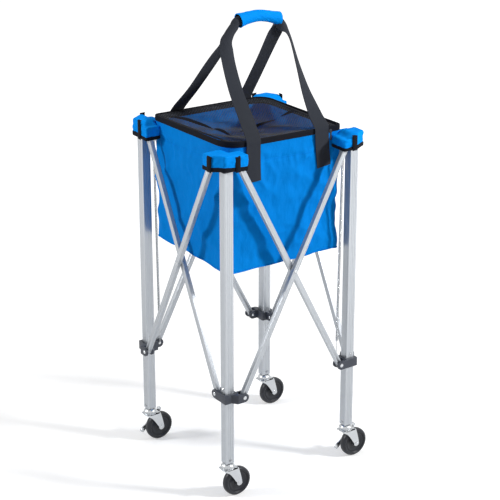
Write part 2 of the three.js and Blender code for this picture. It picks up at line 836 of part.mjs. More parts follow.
// A sheet over a grid of lines, solid along the strands and open in between.
// Every second interval of xs and ys, from the second, is a gap.
function perforatedSheet(xs, ys, heightAt, thickness) {
  const places = [];
  const index = [];
  const layer = xs.length * ys.length;
  for (const drop of [0, thickness]) {
    for (const y of ys) for (const x of xs) places.push(x, y, heightAt(x, y) - drop);
  }
  const at = (i, j) => j * xs.length + i;
  const full = (i, j) => {
    const inside = i >= 0 && j >= 0 && i < xs.length - 1 && j < ys.length - 1;
    return inside && !(i % 2 === 1 && j % 2 === 1);
  };
  const quad = (a, b, c, d) => index.push(a, b, c, a, c, d);
  for (let j = 0; j < ys.length - 1; j += 1) {
    for (let i = 0; i < xs.length - 1; i += 1) {
      if (!full(i, j)) continue;
      const [a, b, c, d] = [at(i, j), at(i + 1, j), at(i + 1, j + 1), at(i, j + 1)];
      quad(a, b, c, d);
      quad(d + layer, c + layer, b + layer, a + layer);
      if (!full(i, j - 1)) quad(b, a, a + layer, b + layer);
      if (!full(i + 1, j)) quad(c, b, b + layer, c + layer);
      if (!full(i, j + 1)) quad(d, c, c + layer, d + layer);
      if (!full(i - 1, j)) quad(a, d, d + layer, a + layer);
    }
  }
  const geometry = new THREE.BufferGeometry();
  geometry.setAttribute("position", new THREE.Float32BufferAttribute(places, 3));
  geometry.setIndex(index);
  return geometry;
}

// A flat strap along a curve. The reference direction is the strap's face normal where it hangs.
function strapGeometry(points, widths, thicknesses, reference, stations) {
  const curve = new THREE.CatmullRomCurve3(points, false, "centripetal");
  const rings = [];
  for (let i = 0; i <= stations; i += 1) {
    const t = i / stations;
    const centre = curve.getPoint(t);
    const along = curve.getTangent(t);
    const normal = reference.clone().addScaledVector(along, -reference.dot(along)).normalize();
    const across = along.clone().cross(normal);
    const w = valueAlong(widths, t) / 2;
    const h = valueAlong(thicknesses, t) / 2;
    const corner = (a, b) => centre.clone().addScaledVector(across, a).addScaledVector(normal, b);
    rings.push([corner(-w, -h), corner(w, -h), corner(w, h), corner(-w, h)]);
  }
  return loft(rings);
}

// Straight steps between the values of a list, spread evenly along it.
function valueAlong(values, t) {
  const place = t * (values.length - 1);
  const i = Math.min(Math.floor(place), values.length - 2);
  return values[i] + (values[i + 1] - values[i]) * (place - i);
}

// Each handle's route where it rises to the wrap and falls from it, as shares of
// handleHalfSpan, bagHalfTop and handleRise. The first and last points are at the rim.
const frontHandleShares = [
  [-1, -1.01, 0.02],
  [-0.96, -0.81, 0.205],
  [-0.944, -0.58, 0.442],
  [-0.861, -0.35, 0.678],
  [-0.72, -0.2, 0.85],
  [0.98, -0.2, 0.85],
  [0.935, -0.35, 0.678],
  [0.94, -0.58, 0.442],
  [0.96, -0.81, 0.205],
  [1, -1.01, 0.02],
];
const rearHandleShares = [
  [-0.94, 1.01, 0.02],
  [-0.75, 0.79, 0.245],
  [-0.52, 0.53, 0.5],
  [-0.33, 0.3, 0.74],
  [-0.29, 0.2, 0.85],
  [1.02, 0.2, 0.85],
  [1.07, 0.31, 0.72],
  [1.09, 0.5, 0.523],
  [1.08, 0.75, 0.295],
  [1.07, 1.01, 0.02],
];

// Where the handles run inside the wrap and just past its ends, as shares of its length.
const inWrapShares = [-0.1, 0.08, 0.5, 0.92, 1.1];

function wrapAxis(t) {
  const x = wrapShift + wrapHalfLength * (2 * t - 1);
  return new THREE.Vector3(x, 0, wrapZ + wrapArch * (1 - (2 * t - 1) ** 2));
}

function handleGeometry(shares, side) {
  const wallY = bagHalfTop + seatGap + handleThickness / 2;
  const inWrapY = side * (handleInWrapGap + handleInWrapThickness) / 2;
  const place = ([x, y, z]) =>
    new THREE.Vector3(x * handleHalfSpan, y * wallY, rimZ + z * handleRise);
  const half = shares.length / 2;
  const rise = shares.slice(0, half).map(place);
  const fall = shares.slice(half).map(place);
  const inWrap = inWrapShares.map((t) => wrapAxis(t).setY(inWrapY));
  const footZ = rimZ - handleFootDrop;
  const footY = wallHalfAt(footZ) + seatGap + handleThickness / 2;
  const footUnder = (p) => p.clone().setY(side * footY).setZ(footZ);
  const points = [footUnder(rise[0]), ...rise, ...inWrap, ...fall, footUnder(fall[half - 1])];
  const slim = handleInWrapWidth;
  const wide = handleWidth;
  const between = (slim + wide) / 2;
  const widths = [
    ...[wide, wide, wide, wide, wide, between],
    ...[slim, slim, slim, slim, slim],
    ...[between, wide, wide, wide, wide, wide],
  ];
  const flat = handleThickness;
  const folded = handleInWrapThickness;
  const thicknesses = [
    ...[flat, flat, flat, flat, flat, flat],
    ...[folded, folded, folded, folded, folded],
    ...[flat, flat, flat, flat, flat, flat],
  ];
  const reference = new THREE.Vector3(0, side, 0);
  return strapGeometry(points, widths, thicknesses, reference, 2 * (points.length - 1));
}

function wrapGeometry() {
  const steps = 6;
  const ring = (radius, t) => {
    const centre = wrapAxis(t);
    return arc(0, 0, radius, 0, 2 * Math.PI, roundSegments)
      .slice(1)
      .map((p) => new THREE.Vector3(centre.x, p.x, centre.z + p.y));
  };
  const lining = wrapOuterRadius - wrapWall;
  const outer = Array.from({ length: steps + 1 }, (_, i) => ring(wrapOuterRadius, i / steps));
  const inner = Array.from({ length: steps + 1 }, (_, i) => ring(lining, 1 - i / steps));
  return loft([...outer, ...inner], true);
}

// The zip's slider with its pull tab, on the front rim between the handle and the right pocket.
function zipSliderGeometry() {
  const x = (handleHalfSpan + handleWidth / 2 + pocketEnd) / 2;
  const y = -bagHalfTop - seatGap;
  const z = rimZ - lidFlangeHeight;
  const half = zipBodyLength / 2;
  const body = roundedRectangle(x - half, x + half, z - zipBodyHeight / 2, z + zipBodyHeight / 2, half / 2);
  const pullTop = z + zipBodyHeight / 4;
  const pull = roundedRectangle(
    x - zipPullWidth / 2,
    x + zipPullWidth / 2,
    pullTop - zipPullLength,
    pullTop,
    zipPullWidth / 4,
  );
  return join(
    uprightPrism(body, y - zipBodyDepth, y),
    uprightPrism(pull, y - zipBodyDepth - zipPullDepth / 2, y - zipBodyDepth + zipPullDepth / 2),
  );
}

// The assembly

for (const [k, corner] of cornerNames.entries()) {
  const atLeg = cornerGroup(k);
  addPiece(`${corner}_leg`, legGeometry(), "aluminium", atLeg);
  addPiece(`${corner}_top_bracket`, bracketGeometry(), "plastic", atLeg);
  addPiece(`${corner}_slider`, sliderGeometry(), "plastic", atLeg);
  addPiece(`${corner}_lock_button`, lockButtonGeometry(), "zinc", atLeg);
  addPiece(`${corner}_caster_stem`, casterStemGeometry(), "zinc", atLeg);
  addPiece(`${corner}_bag_pocket`, pocketGeometry(), "cloth", atLeg);
  const caster = casterGroup(k);
  const braked = brakedCorners.includes(k);
  addPiece(`${corner}_caster_fork`, forkGeometry(braked), "zinc", caster);
  addPiece(`${corner}_wheel`, wheelGeometry(), "tyre", caster);
  if (braked) addPiece(`${corner}_brake_lever`, brakeLeverGeometry(), "zinc", caster);
}

for (const [k, side] of sideNames.entries()) {
  const atLeg = cornerGroup(k);
  const left = pivotOffset;
  const right = legSpacing - pivotOffset;
  const outer = barGeometry(left, sliderPivotZ, right, bracketPivotZ, outerBarFace);
  const inner = barGeometry(right, sliderPivotZ, left, bracketPivotZ, innerBarFace);
  addPiece(`${side}_outer_bar`, outer, "aluminium", atLeg);
  addPiece(`${side}_inner_bar`, inner, "aluminium", atLeg);
  addPiece(`${side}_crossing_rivet`, crossingRivetGeometry(), "zinc", atLeg);
  const turned = new THREE.Group();
  turned.rotation.z = (k * Math.PI) / 2;
  cart.add(turned);
  addPiece(`bag_${side}_wall`, wallGeometry(), "cloth", turned);
}

addPiece("bag_bottom", bottomGeometry(), "cloth", cart);
addPiece("lid_front_net", lidGeometry(false), "net", cart);
addPiece("lid_rear_net", lidGeometry(true), "net", cart);
addPiece("front_handle", handleGeometry(frontHandleShares, -1), "webbing", cart);
addPiece("rear_handle", handleGeometry(rearHandleShares, 1), "webbing", cart);
addPiece("handle_wrap", wrapGeometry(), "cloth", cart);
addPiece("zip_slider", zipSliderGeometry(), "zinc", cart);

cart.updateMatrixWorld(true);

export default cart;
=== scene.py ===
import math

import bmesh
import bpy
from mathutils import Matrix, Vector, noise


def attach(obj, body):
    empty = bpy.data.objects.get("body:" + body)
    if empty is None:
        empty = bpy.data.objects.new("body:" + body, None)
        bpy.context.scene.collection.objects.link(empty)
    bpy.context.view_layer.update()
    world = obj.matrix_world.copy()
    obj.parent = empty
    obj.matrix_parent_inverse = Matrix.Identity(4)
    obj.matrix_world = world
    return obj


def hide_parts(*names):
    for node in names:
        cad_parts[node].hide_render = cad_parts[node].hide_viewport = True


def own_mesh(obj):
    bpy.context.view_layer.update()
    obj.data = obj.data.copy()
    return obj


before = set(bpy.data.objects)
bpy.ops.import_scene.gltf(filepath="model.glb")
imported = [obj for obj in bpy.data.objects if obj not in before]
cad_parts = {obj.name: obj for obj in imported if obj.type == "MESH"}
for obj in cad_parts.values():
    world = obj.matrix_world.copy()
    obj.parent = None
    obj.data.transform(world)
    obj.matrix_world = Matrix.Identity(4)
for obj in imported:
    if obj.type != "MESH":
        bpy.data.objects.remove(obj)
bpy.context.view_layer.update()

# Lengths are in millimetres about the frame's middle, and heights are over a plane
# RAISE above the floor. build() turns them into metres in the CAD's frame.
MM = 0.001
MIDDLE_X = -14.45  # the frame's middle in the CAD's frame
RAISE = 3.0
CENTRE = Matrix.Translation((MIDDLE_X * MM, 0, RAISE * MM))

CORNERS = ["front_left", "front_right", "rear_right", "rear_left"]
SIDES = ["front", "right", "rear", "left"]
BAG_BODIES = [f"bag_{side}" for side in SIDES]

LEG = 194.0  # from the frame's middle to a leg's middle, along x and along y
LEG_PLACE = Vector((-LEG * MM, -LEG * MM, 0))
LEG_SIZE = 25.0
LEG_BOTTOM = 99.0
LEG_TOP = 925.0
BAR_WIDTH = 15.0
BAR_DEPTH = 13.0
TUBE_WALL = 1.6
INNER_FACE = 0.4  # from the legs' middle plane out to the inner bar
OUTER_FACE = 14.6  # and to the outer bar
PIVOT = 32.6  # from a leg's middle to the pins of its bars
SLIDER_Z = 288.3
BRACKET_Z = 911.3
CROSSING_Z = (SLIDER_Z + BRACKET_Z) / 2
RIM = 949.0
SEAM_Z = 891
FOOT_END = 848  # lower end of a handle's sewn foot
BAG_BOTTOM = 614.0
HALF_TOP = 173.6
HALF_BOTTOM = 171.0
SIDE_HALF = 174.0  # half a wall's width, for the folds and the wedges' centres
AXLE_Z = 37.0
TRAIL = 27.0

scene = bpy.context.scene


# Materials

def feed(node, inputs):
    """Sets a node's inputs to values, or links them to other nodes' outputs."""
    for key, value in inputs.items():
        if isinstance(value, bpy.types.NodeSocket):
            node.id_data.links.new(value, node.inputs[key])
        else:
            node.inputs[key].default_value = value


def add(tree, kind, inputs, **settings):
    node = tree.nodes.new(kind)
    for key, value in settings.items():
        setattr(node, key, value)
    feed(node, inputs)
    return node.outputs


def new_look(name, color, rough, **inputs):
    look = bpy.data.materials.new(name)
    look.use_nodes = True
    shader = look.node_tree.nodes["Principled BSDF"]
    feed(shader, {"Base Color": (*color, 1), "Roughness": rough})
    feed(shader, {key.replace("_", " "): value for key, value in inputs.items()})
    return look, look.node_tree, shader


def place_of(tree, scale=(1, 1, 1), uv=False):
    """coordinates on the object, or along a strap, scaled by three numbers"""
    source = add(tree, "ShaderNodeTexCoord", {})["UV" if uv else "Object"]
    return add(tree, "ShaderNodeMapping", {"Vector": source, "Scale": scale})["Vector"]


def noise_of(tree, scale, stretch=(1, 1, 1), detail=3.0, uv=False):
    inputs = {"Vector": place_of(tree, stretch, uv), "Scale": scale, "Detail": detail}
    return add(tree, "ShaderNodeTexNoise", inputs)["Fac"]


def wave_of(tree, scale, axis, uv=False):
    inputs = {"Vector": place_of(tree, uv=uv), "Scale": scale}
    return add(tree, "ShaderNodeTexWave", inputs, bands_direction=axis)["Fac"]


def ramped(tree, value, low, high, start=0.0, end=1.0):
    """a value's range from start to end, stretched to low to high"""
    inputs = {"Value": value, "From Min": start, "From Max": end, "To Min": low, "To Max": high}
    return add(tree, "ShaderNodeMapRange", inputs)["Result"]


def combined(tree, operation, first, second):
    return add(tree, "ShaderNodeMath", {0: first, 1: second}, operation=operation)[0]


def mixed(tree, share, first, second, blend="MIX"):
    inputs = {"Factor": share, "A": first, "B": second}
    return add(tree, "ShaderNodeMix", inputs, data_type="RGBA", blend_type=blend)["Result"]


def tinted(tree, share, color, dark, light):
    """a colour between a dark and a light share of itself"""
    shades = [(*[c * level for c in color], 1) for level in (dark, light)]
    return mixed(tree, share, *shades)


def bumped(tree, shader, height, strength, distance, below=None):
    inputs = {"Height": height, "Strength": strength, "Distance": distance}
    if below is not None:
        inputs["Normal"] = below
    normal = add(tree, "ShaderNodeBump", inputs)["Normal"]
    feed(shader, {"Normal": normal})
    return normal


def metal(name, color, rough, streak=(60, 60, 60), metallic=1.0):
    look, tree, shader = new_look(name, color, rough, Metallic=metallic)
    streaks = noise_of(tree, 1.0, streak)
    feed(shader, {"Base Color": tinted(tree, streaks, color, 0.9, 1)})
    feed(shader, {"Roughness": ramped(tree, streaks, rough * 0.8, rough * 1.25)})
    bumped(tree, shader, streaks, strength=0.08, distance=0.0004)
    return look


def moulded(name, color, rough, grain):
    look, tree, shader = new_look(name, color, rough, Specular_IOR_Level=0.32)
    fine = noise_of(tree, grain)
    broad = noise_of(tree, 45)
    feed(shader, {"Base Color": tinted(tree, broad, color, 0.8, 1.15)})
    feed(shader, {"Roughness": ramped(tree, fine, rough * 0.85, rough * 1.15)})
    bumped(tree, shader, fine, strength=0.25, distance=0.0003)
    return look


def woven(name, color, rough, pitch, crumple, sheen=0.03, uv=False, ribs=0.0):
    """plain weave with threads and ribs that are so many mm apart, crumples and uneven dye"""
    look, tree, shader = new_look(
        name, color, rough, Sheen_Weight=sheen, Sheen_Roughness=0.5, Specular_IOR_Level=0.04
    )
    broad = noise_of(tree, 0.02 if uv else 16, uv=uv)
    fine = noise_of(tree, 1.2 if uv else 900, uv=uv)
    dye = tinted(tree, broad, color, 0.9, 1.07)
    speckle = tinted(tree, fine, (1, 1, 1), 0.75, 1)
    feed(shader, {"Base Color": mixed(tree, 0.5, dye, speckle, "MULTIPLY")})
    unit = 1.0 if uv else 1 / MM  # a strap's coordinates are in mm, an object's in metres
    threads = unit / pitch / math.pi
    across, along = wave_of(tree, threads, "X", uv), wave_of(tree, threads, "Y" if uv else "Z", uv)
    below = bumped(tree, shader, combined(tree, "ADD", across, along), strength=0.18, distance=0.0003)
    if crumple:
        hollows = noise_of(tree, 26, (1, 1, 0.55), 4.0)
        below = bumped(tree, shader, hollows, crumple, distance=0.006, below=below)
    if ribs:
        ridges = wave_of(tree, 1 / ribs / math.pi, "Y", uv)
        bumped(tree, shader, ridges, strength=0.5, distance=0.0006, below=below)
    return look


ALUMINIUM = metal("aluminium", (0.475, 0.50, 0.53), 0.38, streak=(900, 900, 5), metallic=0.85)
ZINC = metal("zinc", (0.56, 0.58, 0.60), 0.22)
STEEL = metal("steel", (0.28, 0.29, 0.31), 0.42)
PAINTED = metal("painted zinc", (0.04, 0.042, 0.05), 0.4, metallic=0.5)
PLASTIC = moulded("plastic", (0.042, 0.048, 0.064), 0.42, grain=1100)
TYRE = moulded("tyre", (0.018, 0.02, 0.026), 0.34, grain=800)
CLOTH = woven("cloth", (0.0, 0.225, 0.72), 0.72, pitch=0.9, crumple=0.8, sheen=0.0)
# A brighter copy of the blue cloth. Painted light: the pockets and the wrap are made lighter than the walls
# to look more brightly lit.
CLOTH_WITH_PAINTED_LIGHT = woven("cloth with painted light", (0.0, 0.29, 0.93), 0.72, pitch=0.9, crumple=0.35, sheen=0.0)
BINDING = woven("binding", (0.012, 0.013, 0.018), 0.85, pitch=1.1, crumple=0.1)
NET = moulded("net", (0.075, 0.08, 0.09), 0.8, grain=700)
WEBBING = woven("webbing", (0.036, 0.04, 0.05), 0.85, pitch=1.3, crumple=0.0, uv=True, ribs=3.0)


# Shares and waves

def clamped(share):
    return min(max(share, 0.0), 1.0)


def eased(share):
    return share * share * (3 - 2 * share)


def bell(value, middle, width):
    return math.exp(-((value - middle) / width) ** 2)


def wavy(x, y, z):
    return noise.noise(Vector((x, y, z)))


# Mesh helpers

def corner(k):
    """Turns what is drawn for the front side and the front left corner to side and corner k."""
    return CENTRE @ Matrix.Rotation(k * math.pi / 2, 4, "Z")


def at_leg(k):
    return corner(k) @ Matrix.Translation(LEG_PLACE)


def new_object(name, data):
    obj = bpy.data.objects.new(name, data)
    scene.collection.objects.link(obj)
    return obj


def shade(mesh, degrees):
    """smooth shading with sharp edges over an angle"""
    mesh.shade_smooth()
    mesh.set_sharp_from_angle(angle=math.radians(degrees))


def build(name, part, looks, place=CENTRE, own_place=False, smooth=40.0):
    """A mesh from points in mm. With own_place the object keeps its place as its matrix."""
    verts, faces = part
    mesh = bpy.data.meshes.new(name)
    mesh.from_pydata([Vector(v) * MM for v in verts], [], faces)
    mesh.validate()
    clean = bmesh.new()
    clean.from_mesh(mesh)
    bmesh.ops.remove_doubles(clean, verts=clean.verts, dist=1e-6)
    bmesh.ops.dissolve_degenerate(clean, edges=clean.edges, dist=1e-6)
    bmesh.ops.recalc_face_normals(clean, faces=clean.faces)
    clean.to_mesh(mesh)
    clean.free()
    obj = new_object(name, mesh)
    for look in looks:
        mesh.materials.append(look)
    if own_place:
        obj.matrix_world = place
    else:
        mesh.transform(place)
    if smooth:
        shade(mesh, smooth)
    return obj


def finish_piece(obj, body, slot, *nodes):
    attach(obj, body)
    if nodes:
        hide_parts(*nodes)
    return obj


def piece(name, part, look, body, slot, *nodes, **settings):
    """A piece of one look that rides on a body and may stand for nodes."""
    return finish_piece(build(name, part, [look], **settings), body, slot, *nodes)


def modified(obj, kind, **settings):
    """Applies a modifier with these settings."""
    modifier = obj.modifiers.new(kind.lower(), kind)
    for key, value in settings.items():
        setattr(modifier, key, value)
    graph = bpy.context.evaluated_depsgraph_get()
    graph.update()
    made = bpy.data.meshes.new_from_object(obj.evaluated_get(graph))
    obj.modifiers.clear()
    obj.data = made
    return obj


def bevelled(obj, width, segments, degrees):
    limit = math.radians(degrees)
    return modified(
        obj, "BEVEL", width=width * MM, segments=segments, limit_method="ANGLE", angle_limit=limit
    )


def thickened(obj, thickness):
    modified(obj, "SOLIDIFY", thickness=thickness * MM, offset=-1)
    shade(obj.data, 50)


def grid_faces(rows, columns, closed_rows=False, closed_columns=False):
    """faces of a grid of points, columns running fastest"""
    faces = []
    for r in range(rows if closed_rows else rows - 1):
        for c in range(columns if closed_columns else columns - 1):
            r1, c1 = (r + 1) % rows, (c + 1) % columns
            faces.append([r * columns + c, r * columns + c1, r1 * columns + c1, r1 * columns + c])
    return faces


def loft(rings, closed=False):
    """a skin over rings of points, capped unless it closes on itself"""
    count = len(rings[0])
    verts = [p for ring in rings for p in ring]
    faces = grid_faces(len(rings), count, closed, True)
    if not closed:
        faces.append(list(range(count))[::-1])
        faces.append([len(verts) - count + i for i in range(count)])
    return verts, faces


def merge(*parts):
    verts, faces = [], []
    for part_verts, part_faces in parts:
        faces += [[i + len(verts) for i in face] for face in part_faces]
        verts += [tuple(v) for v in part_verts]
    return verts, faces


def moved(part, dx=0.0, dy=0.0, dz=0.0):
    return [(x + dx, y + dy, z + dz) for x, y, z in part[0]], part[1]


def swapped(part):
    """x and y exchanged, which takes a shape to the leg's other side"""
    return [(y, x, z) for x, y, z in part[0]], [face[::-1] for face in part[1]]


def circle(radius, steps=8):
    angles = [2 * math.pi * i / steps for i in range(steps)]
    return [(radius * math.cos(a), radius * math.sin(a)) for a in angles]


def arc_points(x, y, radius, start, end, steps):
    angles = [start + (end - start) * i / steps for i in range(steps + 1)]
    return [(x + radius * math.cos(a), y + radius * math.sin(a)) for a in angles]


def lathe(profile, axis="Z", segments=32):
    """profile of (radius, height) pairs about the z axis or the y axis"""
    rings = []
    for r, h in profile:
        points = circle(max(r, 0.001), segments)
        rings.append([(x, y, h) if axis == "Z" else (x, h, -y) for x, y in points])
    return loft(rings)


def dome(radius, height, base, steps=5):
    """profile from a rivet's rim up to its crown, at base along the axis"""
    angles = [a * math.pi / 2 / steps for a in range(steps + 1)]
    return [(radius * math.cos(a), base + height * math.sin(a)) for a in angles]


def smooth_line(points, steps):
    """Catmull-Rom line through points, as a list of Vectors"""
    points = [Vector(p) for p in points]
    ends = [2 * points[0] - points[1], *points, 2 * points[-1] - points[-2]]
    line = []
    for i in range(1, len(ends) - 2):
        p0, p1, p2, p3 = ends[i - 1:i + 3]
        for s in range(steps):
            t = s / steps
            line.append(
                0.5 * (2 * p1 + (p2 - p0) * t + (2 * p0 - 5 * p1 + 4 * p2 - p3) * t * t
                       + (3 * p1 - p0 - 3 * p2 + p3) * t * t * t)
            )
    line.append(points[-1])
    return line


def direction_at(line, i):
    return (line[min(i + 1, len(line) - 1)] - line[max(i - 1, 0)]).normalized()


def sweep(line, section):
    """A section of (out, up) pairs swept along a line, with flat caps."""
    rings = []
    for i, p in enumerate(line):
        along = direction_at(line, i)
        out = along.cross(Vector((0, 0, 1))).normalized()
        over = out.cross(along).normalized()
        rings.append([p + out * a + over * b for a, b in section])
    return loft(rings)


def extruded(points, z0, z1):
    return loft([[(x, y, z0) for x, y in points], [(x, y, z1) for x, y in points]])


def upright(points, y0, y1):
    return loft([[(x, y1, z) for x, z in points], [(x, y0, z) for x, z in points]])


def block(x0, x1, y0, y1, z0, z1):
    return extruded([(x0, y0), (x1, y0), (x1, y1), (x0, y1)], z0, z1)


# Frame: legs and bars, drawn tubes with rounded corners and fine lengthwise grooves

def tube_outline(width, depth, radius, grooves_w, grooves_d, groove, sink, steps=4):
    """The outline of a tube whose grooves lie at places across its width and its depth."""
    points = []
    for i in range(4):
        along, out = (width / 2, depth / 2) if i % 2 == 0 else (depth / 2, width / 2)
        row = [(-along + radius, -out)]
        for g in grooves_w if i % 2 == 0 else grooves_d:
            row += [
                (g - groove / 2, -out),
                (g - groove / 2 + sink / 2, -out + sink),
                (g + groove / 2 - sink / 2, -out + sink),
                (g + groove / 2, -out),
            ]
        row += arc_points(along - radius, -out + radius, radius, -math.pi / 2, 0, steps)[:-1]
        turn = i * math.pi / 2
        cos, sin = math.cos(turn), math.sin(turn)
        points += [(x * cos - y * sin, x * sin + y * cos) for x, y in row]
    return points


def tube_rings(outline, width, depth, low, high, chamfer=0.5):
    """outer and inner rings of a hollow tube whose ends lie at low(x) and high(x)"""
    x_in, y_in = width / 2 - TUBE_WALL, depth / 2 - TUBE_WALL

    def ring(share, end, inset):
        return [(x * share, y * share, end(x * share) + inset) for x, y in outline]

    def inner(end):
        held = [(max(-x_in, min(x_in, x)), max(-y_in, min(y_in, y))) for x, y in outline]
        return [(x, y, end(x)) for x, y in held]

    share = 1 - 2 * chamfer / max(width, depth)
    return [
        inner(low),
        ring(share, low, 0),
        ring(1, low, chamfer),
        ring(1, high, -chamfer),
        ring(share, high, 0),
        inner(high),
    ]


def tube(node, rings, place):
    part = loft(rings, closed=True)
    piece(f"{node}_tube", part, ALUMINIUM, node, "aluminium", node, place=place, own_place=True)


LEG_GROOVES = (-5.4, 0, 5.4)
leg_outline = tube_outline(LEG_SIZE, LEG_SIZE, 1.6, LEG_GROOVES, LEG_GROOVES, groove=1.9, sink=0.55)
leg_rings = tube_rings(leg_outline, LEG_SIZE, LEG_SIZE, lambda x: LEG_BOTTOM, lambda x: LEG_TOP)
for k, name in enumerate(CORNERS):
    tube(f"{name}_leg", leg_rings, at_leg(k))

BAR_RUN = 2 * (LEG - PIVOT)  # sideways, from pin to pin
BAR_RISE = BRACKET_Z - SLIDER_Z
bar_length = math.hypot(BAR_RUN, BAR_RISE)


def bar_end(x):
    return math.sqrt(max((BAR_WIDTH / 2) ** 2 - x * x, 0.0))


bar_outline = tube_outline(BAR_WIDTH, BAR_DEPTH, 2.2, (-3.1, 3.1), (-2.0, 2.0), groove=1.5, sink=0.45)
bar_rings = tube_rings(
    bar_outline, BAR_WIDTH, BAR_DEPTH, lambda x: -bar_end(x), lambda x: bar_length + bar_end(x)
)


def crossing_rivet():
    """The two heads of a centre rivet and the spacer washer between its bars."""
    outer = LEG + OUTER_FACE + BAR_DEPTH
    inner = LEG + INNER_FACE
    play = 0.2
    near, far = inner + BAR_DEPTH + play, LEG + OUTER_FACE - play
    head = [
        (0, -outer - 0.5), (1.7, -outer - 0.5), (2.1, -outer - 1.5), (4.2, -outer - 1.3), (5.2, -outer),
        (5.2, -outer + 0.3),
    ]
    tail = [
        (4.6, -inner - 0.3), (4.6, -inner), (3.8, -inner + 1.3), (2.0, -inner + 1.4), (1.6, -inner + 0.5),
        (0, -inner + 0.5),
    ]
    washer = [(2, -far), (6, -far), (6, -near), (2, -near)]
    return merge(*[moved(lathe(p, "Y", 24), dz=CROSSING_Z) for p in (head, tail, washer)])


for k, side in enumerate(SIDES):
    for kind, direction, face in (("outer", 1, OUTER_FACE), ("inner", -1, INNER_FACE)):
        lean = math.atan2(BAR_RUN * direction, BAR_RISE)
        foot = Vector((-BAR_RUN / 2 * direction, -(LEG + face + BAR_DEPTH / 2), SLIDER_Z)) * MM
        place = corner(k) @ Matrix.Translation(foot) @ Matrix.Rotation(lean, 4, "Y")
        tube(f"{side}_{kind}_bar", bar_rings, place)
    node = f"{side}_crossing_rivet"
    piece(f"{node}_heads", crossing_rivet(), ZINC, f"{side}_inner_bar", "zinc", node, place=corner(k))


# Moulded sliders and top brackets, cut from rounded blocks

CLEVIS_WALL = 5.2
LOBE = 12.0  # radius of a clevis, and half the slider's height
COLLAR = 19.0
BAR_GAP = 0.4
LEG_GAP = 0.4
OVERRUN = 1.0


def temporary(part):
    return build("temporary", part, [], Matrix(), smooth=0)


def mesh_part(obj):
    """Takes a temporary object back to points and faces."""
    part = [tuple(v.co / MM) for v in obj.data.vertices], [list(p.vertices) for p in obj.data.polygons]
    bpy.data.objects.remove(obj)
    return part


def boolean(target, tool, operation):
    modified(target, "BOOLEAN", object=tool, operation=operation, solver="EXACT")
    bpy.data.objects.remove(tool)


def clevis_faces(face):
    """the inner and outer planes of the clevis round a bar"""
    return face - BAR_GAP - CLEVIS_WALL, face + BAR_DEPTH + BAR_GAP + CLEVIS_WALL


def clevis(face, pivot_z, below):
    """A rounded lobe that tapers off the collar, and the slot for its bar."""
    inside, outside = clevis_faces(face)
    round_end = arc_points(PIVOT, pivot_z, LOBE, -math.pi / 2, math.pi / 2, 14)
    side = [(0, pivot_z - below), *round_end, (0, pivot_z + LOBE)]
    if below < LOBE:
        side = [(x, max(z, pivot_z - below)) for x, z in side]
    flush = min(COLLAR, outside)
    slope = outside - flush
    end = PIVOT + LOBE
    plan = [
        (0, -inside), (0, -flush), (2, -flush - 0.12 * slope), (9.5, -flush - 0.88 * slope), (12.5, -outside),
        (end + OVERRUN, -outside), (end + OVERRUN, -inside),
    ]
    low, high = pivot_z - below - 2 * OVERRUN, pivot_z + LOBE + 2 * OVERRUN
    lobe = temporary(upright(side, -outside - 2 * OVERRUN, -inside + 2 * OVERRUN))
    boolean(lobe, temporary(extruded(plan, low, high)), "INTERSECT")
    step = 0.5  # from the collar's face to the slot
    slot = block(COLLAR + step, end + 3 * OVERRUN, -face - BAR_DEPTH - BAR_GAP, -face + BAR_GAP, low, high)
    return lobe, slot


def collar(front_face, left_face, pivot_z, bottom, top, hole_top):
    """A collar round the leg with a clevis to each side, drawn at the front left leg."""
    body = temporary(block(-COLLAR, COLLAR, -COLLAR, COLLAR, bottom, top))
    below = min(pivot_z - bottom, LOBE)
    front, front_slot = clevis(front_face, pivot_z, below)
    left, left_slot = clevis(left_face, pivot_z, below)
    left = temporary(swapped(mesh_part(left)))
    hole = LEG_SIZE / 2 + LEG_GAP
    leg_hole = block(-hole, hole, -hole, hole, bottom - 2 * OVERRUN, hole_top)
    boolean(body, front, "UNION")
    boolean(body, left, "UNION")
    for cut in (front_slot, swapped(left_slot), leg_hole):
        boolean(body, temporary(cut), "DIFFERENCE")
    return mesh_part(bevelled(body, width=1.1, segments=3, degrees=32))


def clevis_rivet(face):
    inside, outside = clevis_faces(face)
    radius, tail_radius = 5.3, 4.2
    head = [(r, -outside - h) for r, h in dome(radius, 1.9, 0)][::-1] + [(radius, -outside + 0.2)]
    tail = [(4.4, -inside - 0.2), (4.4, -inside)] + [(r, -inside + h) for r, h in dome(tail_radius, 1.7, 0)]
    pin = [(2.7, -outside), (2.7, -inside)]
    return [moved(lathe(p, "Y", 28), dx=PIVOT) for p in (head, tail, pin)]


def collar_set(label, node, body, pivot_z, front_face, left_face, shape):
    rivets = merge(*clevis_rivet(front_face), *[swapped(p) for p in clevis_rivet(left_face)])
    pins = moved(rivets, dz=pivot_z)
    for k, name in enumerate(CORNERS):
        on, place = f"{name}_{body}", at_leg(k)
        moulding = f"{name}_{label}_moulding"
        piece(moulding, shape, PLASTIC, on, "plastic", f"{name}_{node}", place=place, smooth=28)
        piece(f"{name}_{label}_rivets", pins, ZINC, on, "zinc", place=place)


BRACKET_BELOW = 11.5  # under the bracket's pins
CAP = 9.5  # over the leg's top
CAP_GAP = 0.3
slider_top = SLIDER_Z + LOBE
slider = collar(
    OUTER_FACE, INNER_FACE, SLIDER_Z, SLIDER_Z - LOBE, slider_top, hole_top=slider_top + 3 * OVERRUN
)
bracket = collar(
    INNER_FACE, OUTER_FACE, BRACKET_Z, BRACKET_Z - BRACKET_BELOW, LEG_TOP + CAP, hole_top=LEG_TOP + CAP_GAP
)
collar_set("slider", "slider", "slider", SLIDER_Z, OUTER_FACE, INNER_FACE, slider)
collar_set("bracket", "top_bracket", "leg", BRACKET_Z, INNER_FACE, OUTER_FACE, bracket)


# Opening springs between the bracket's and the slider's pins, at two corners

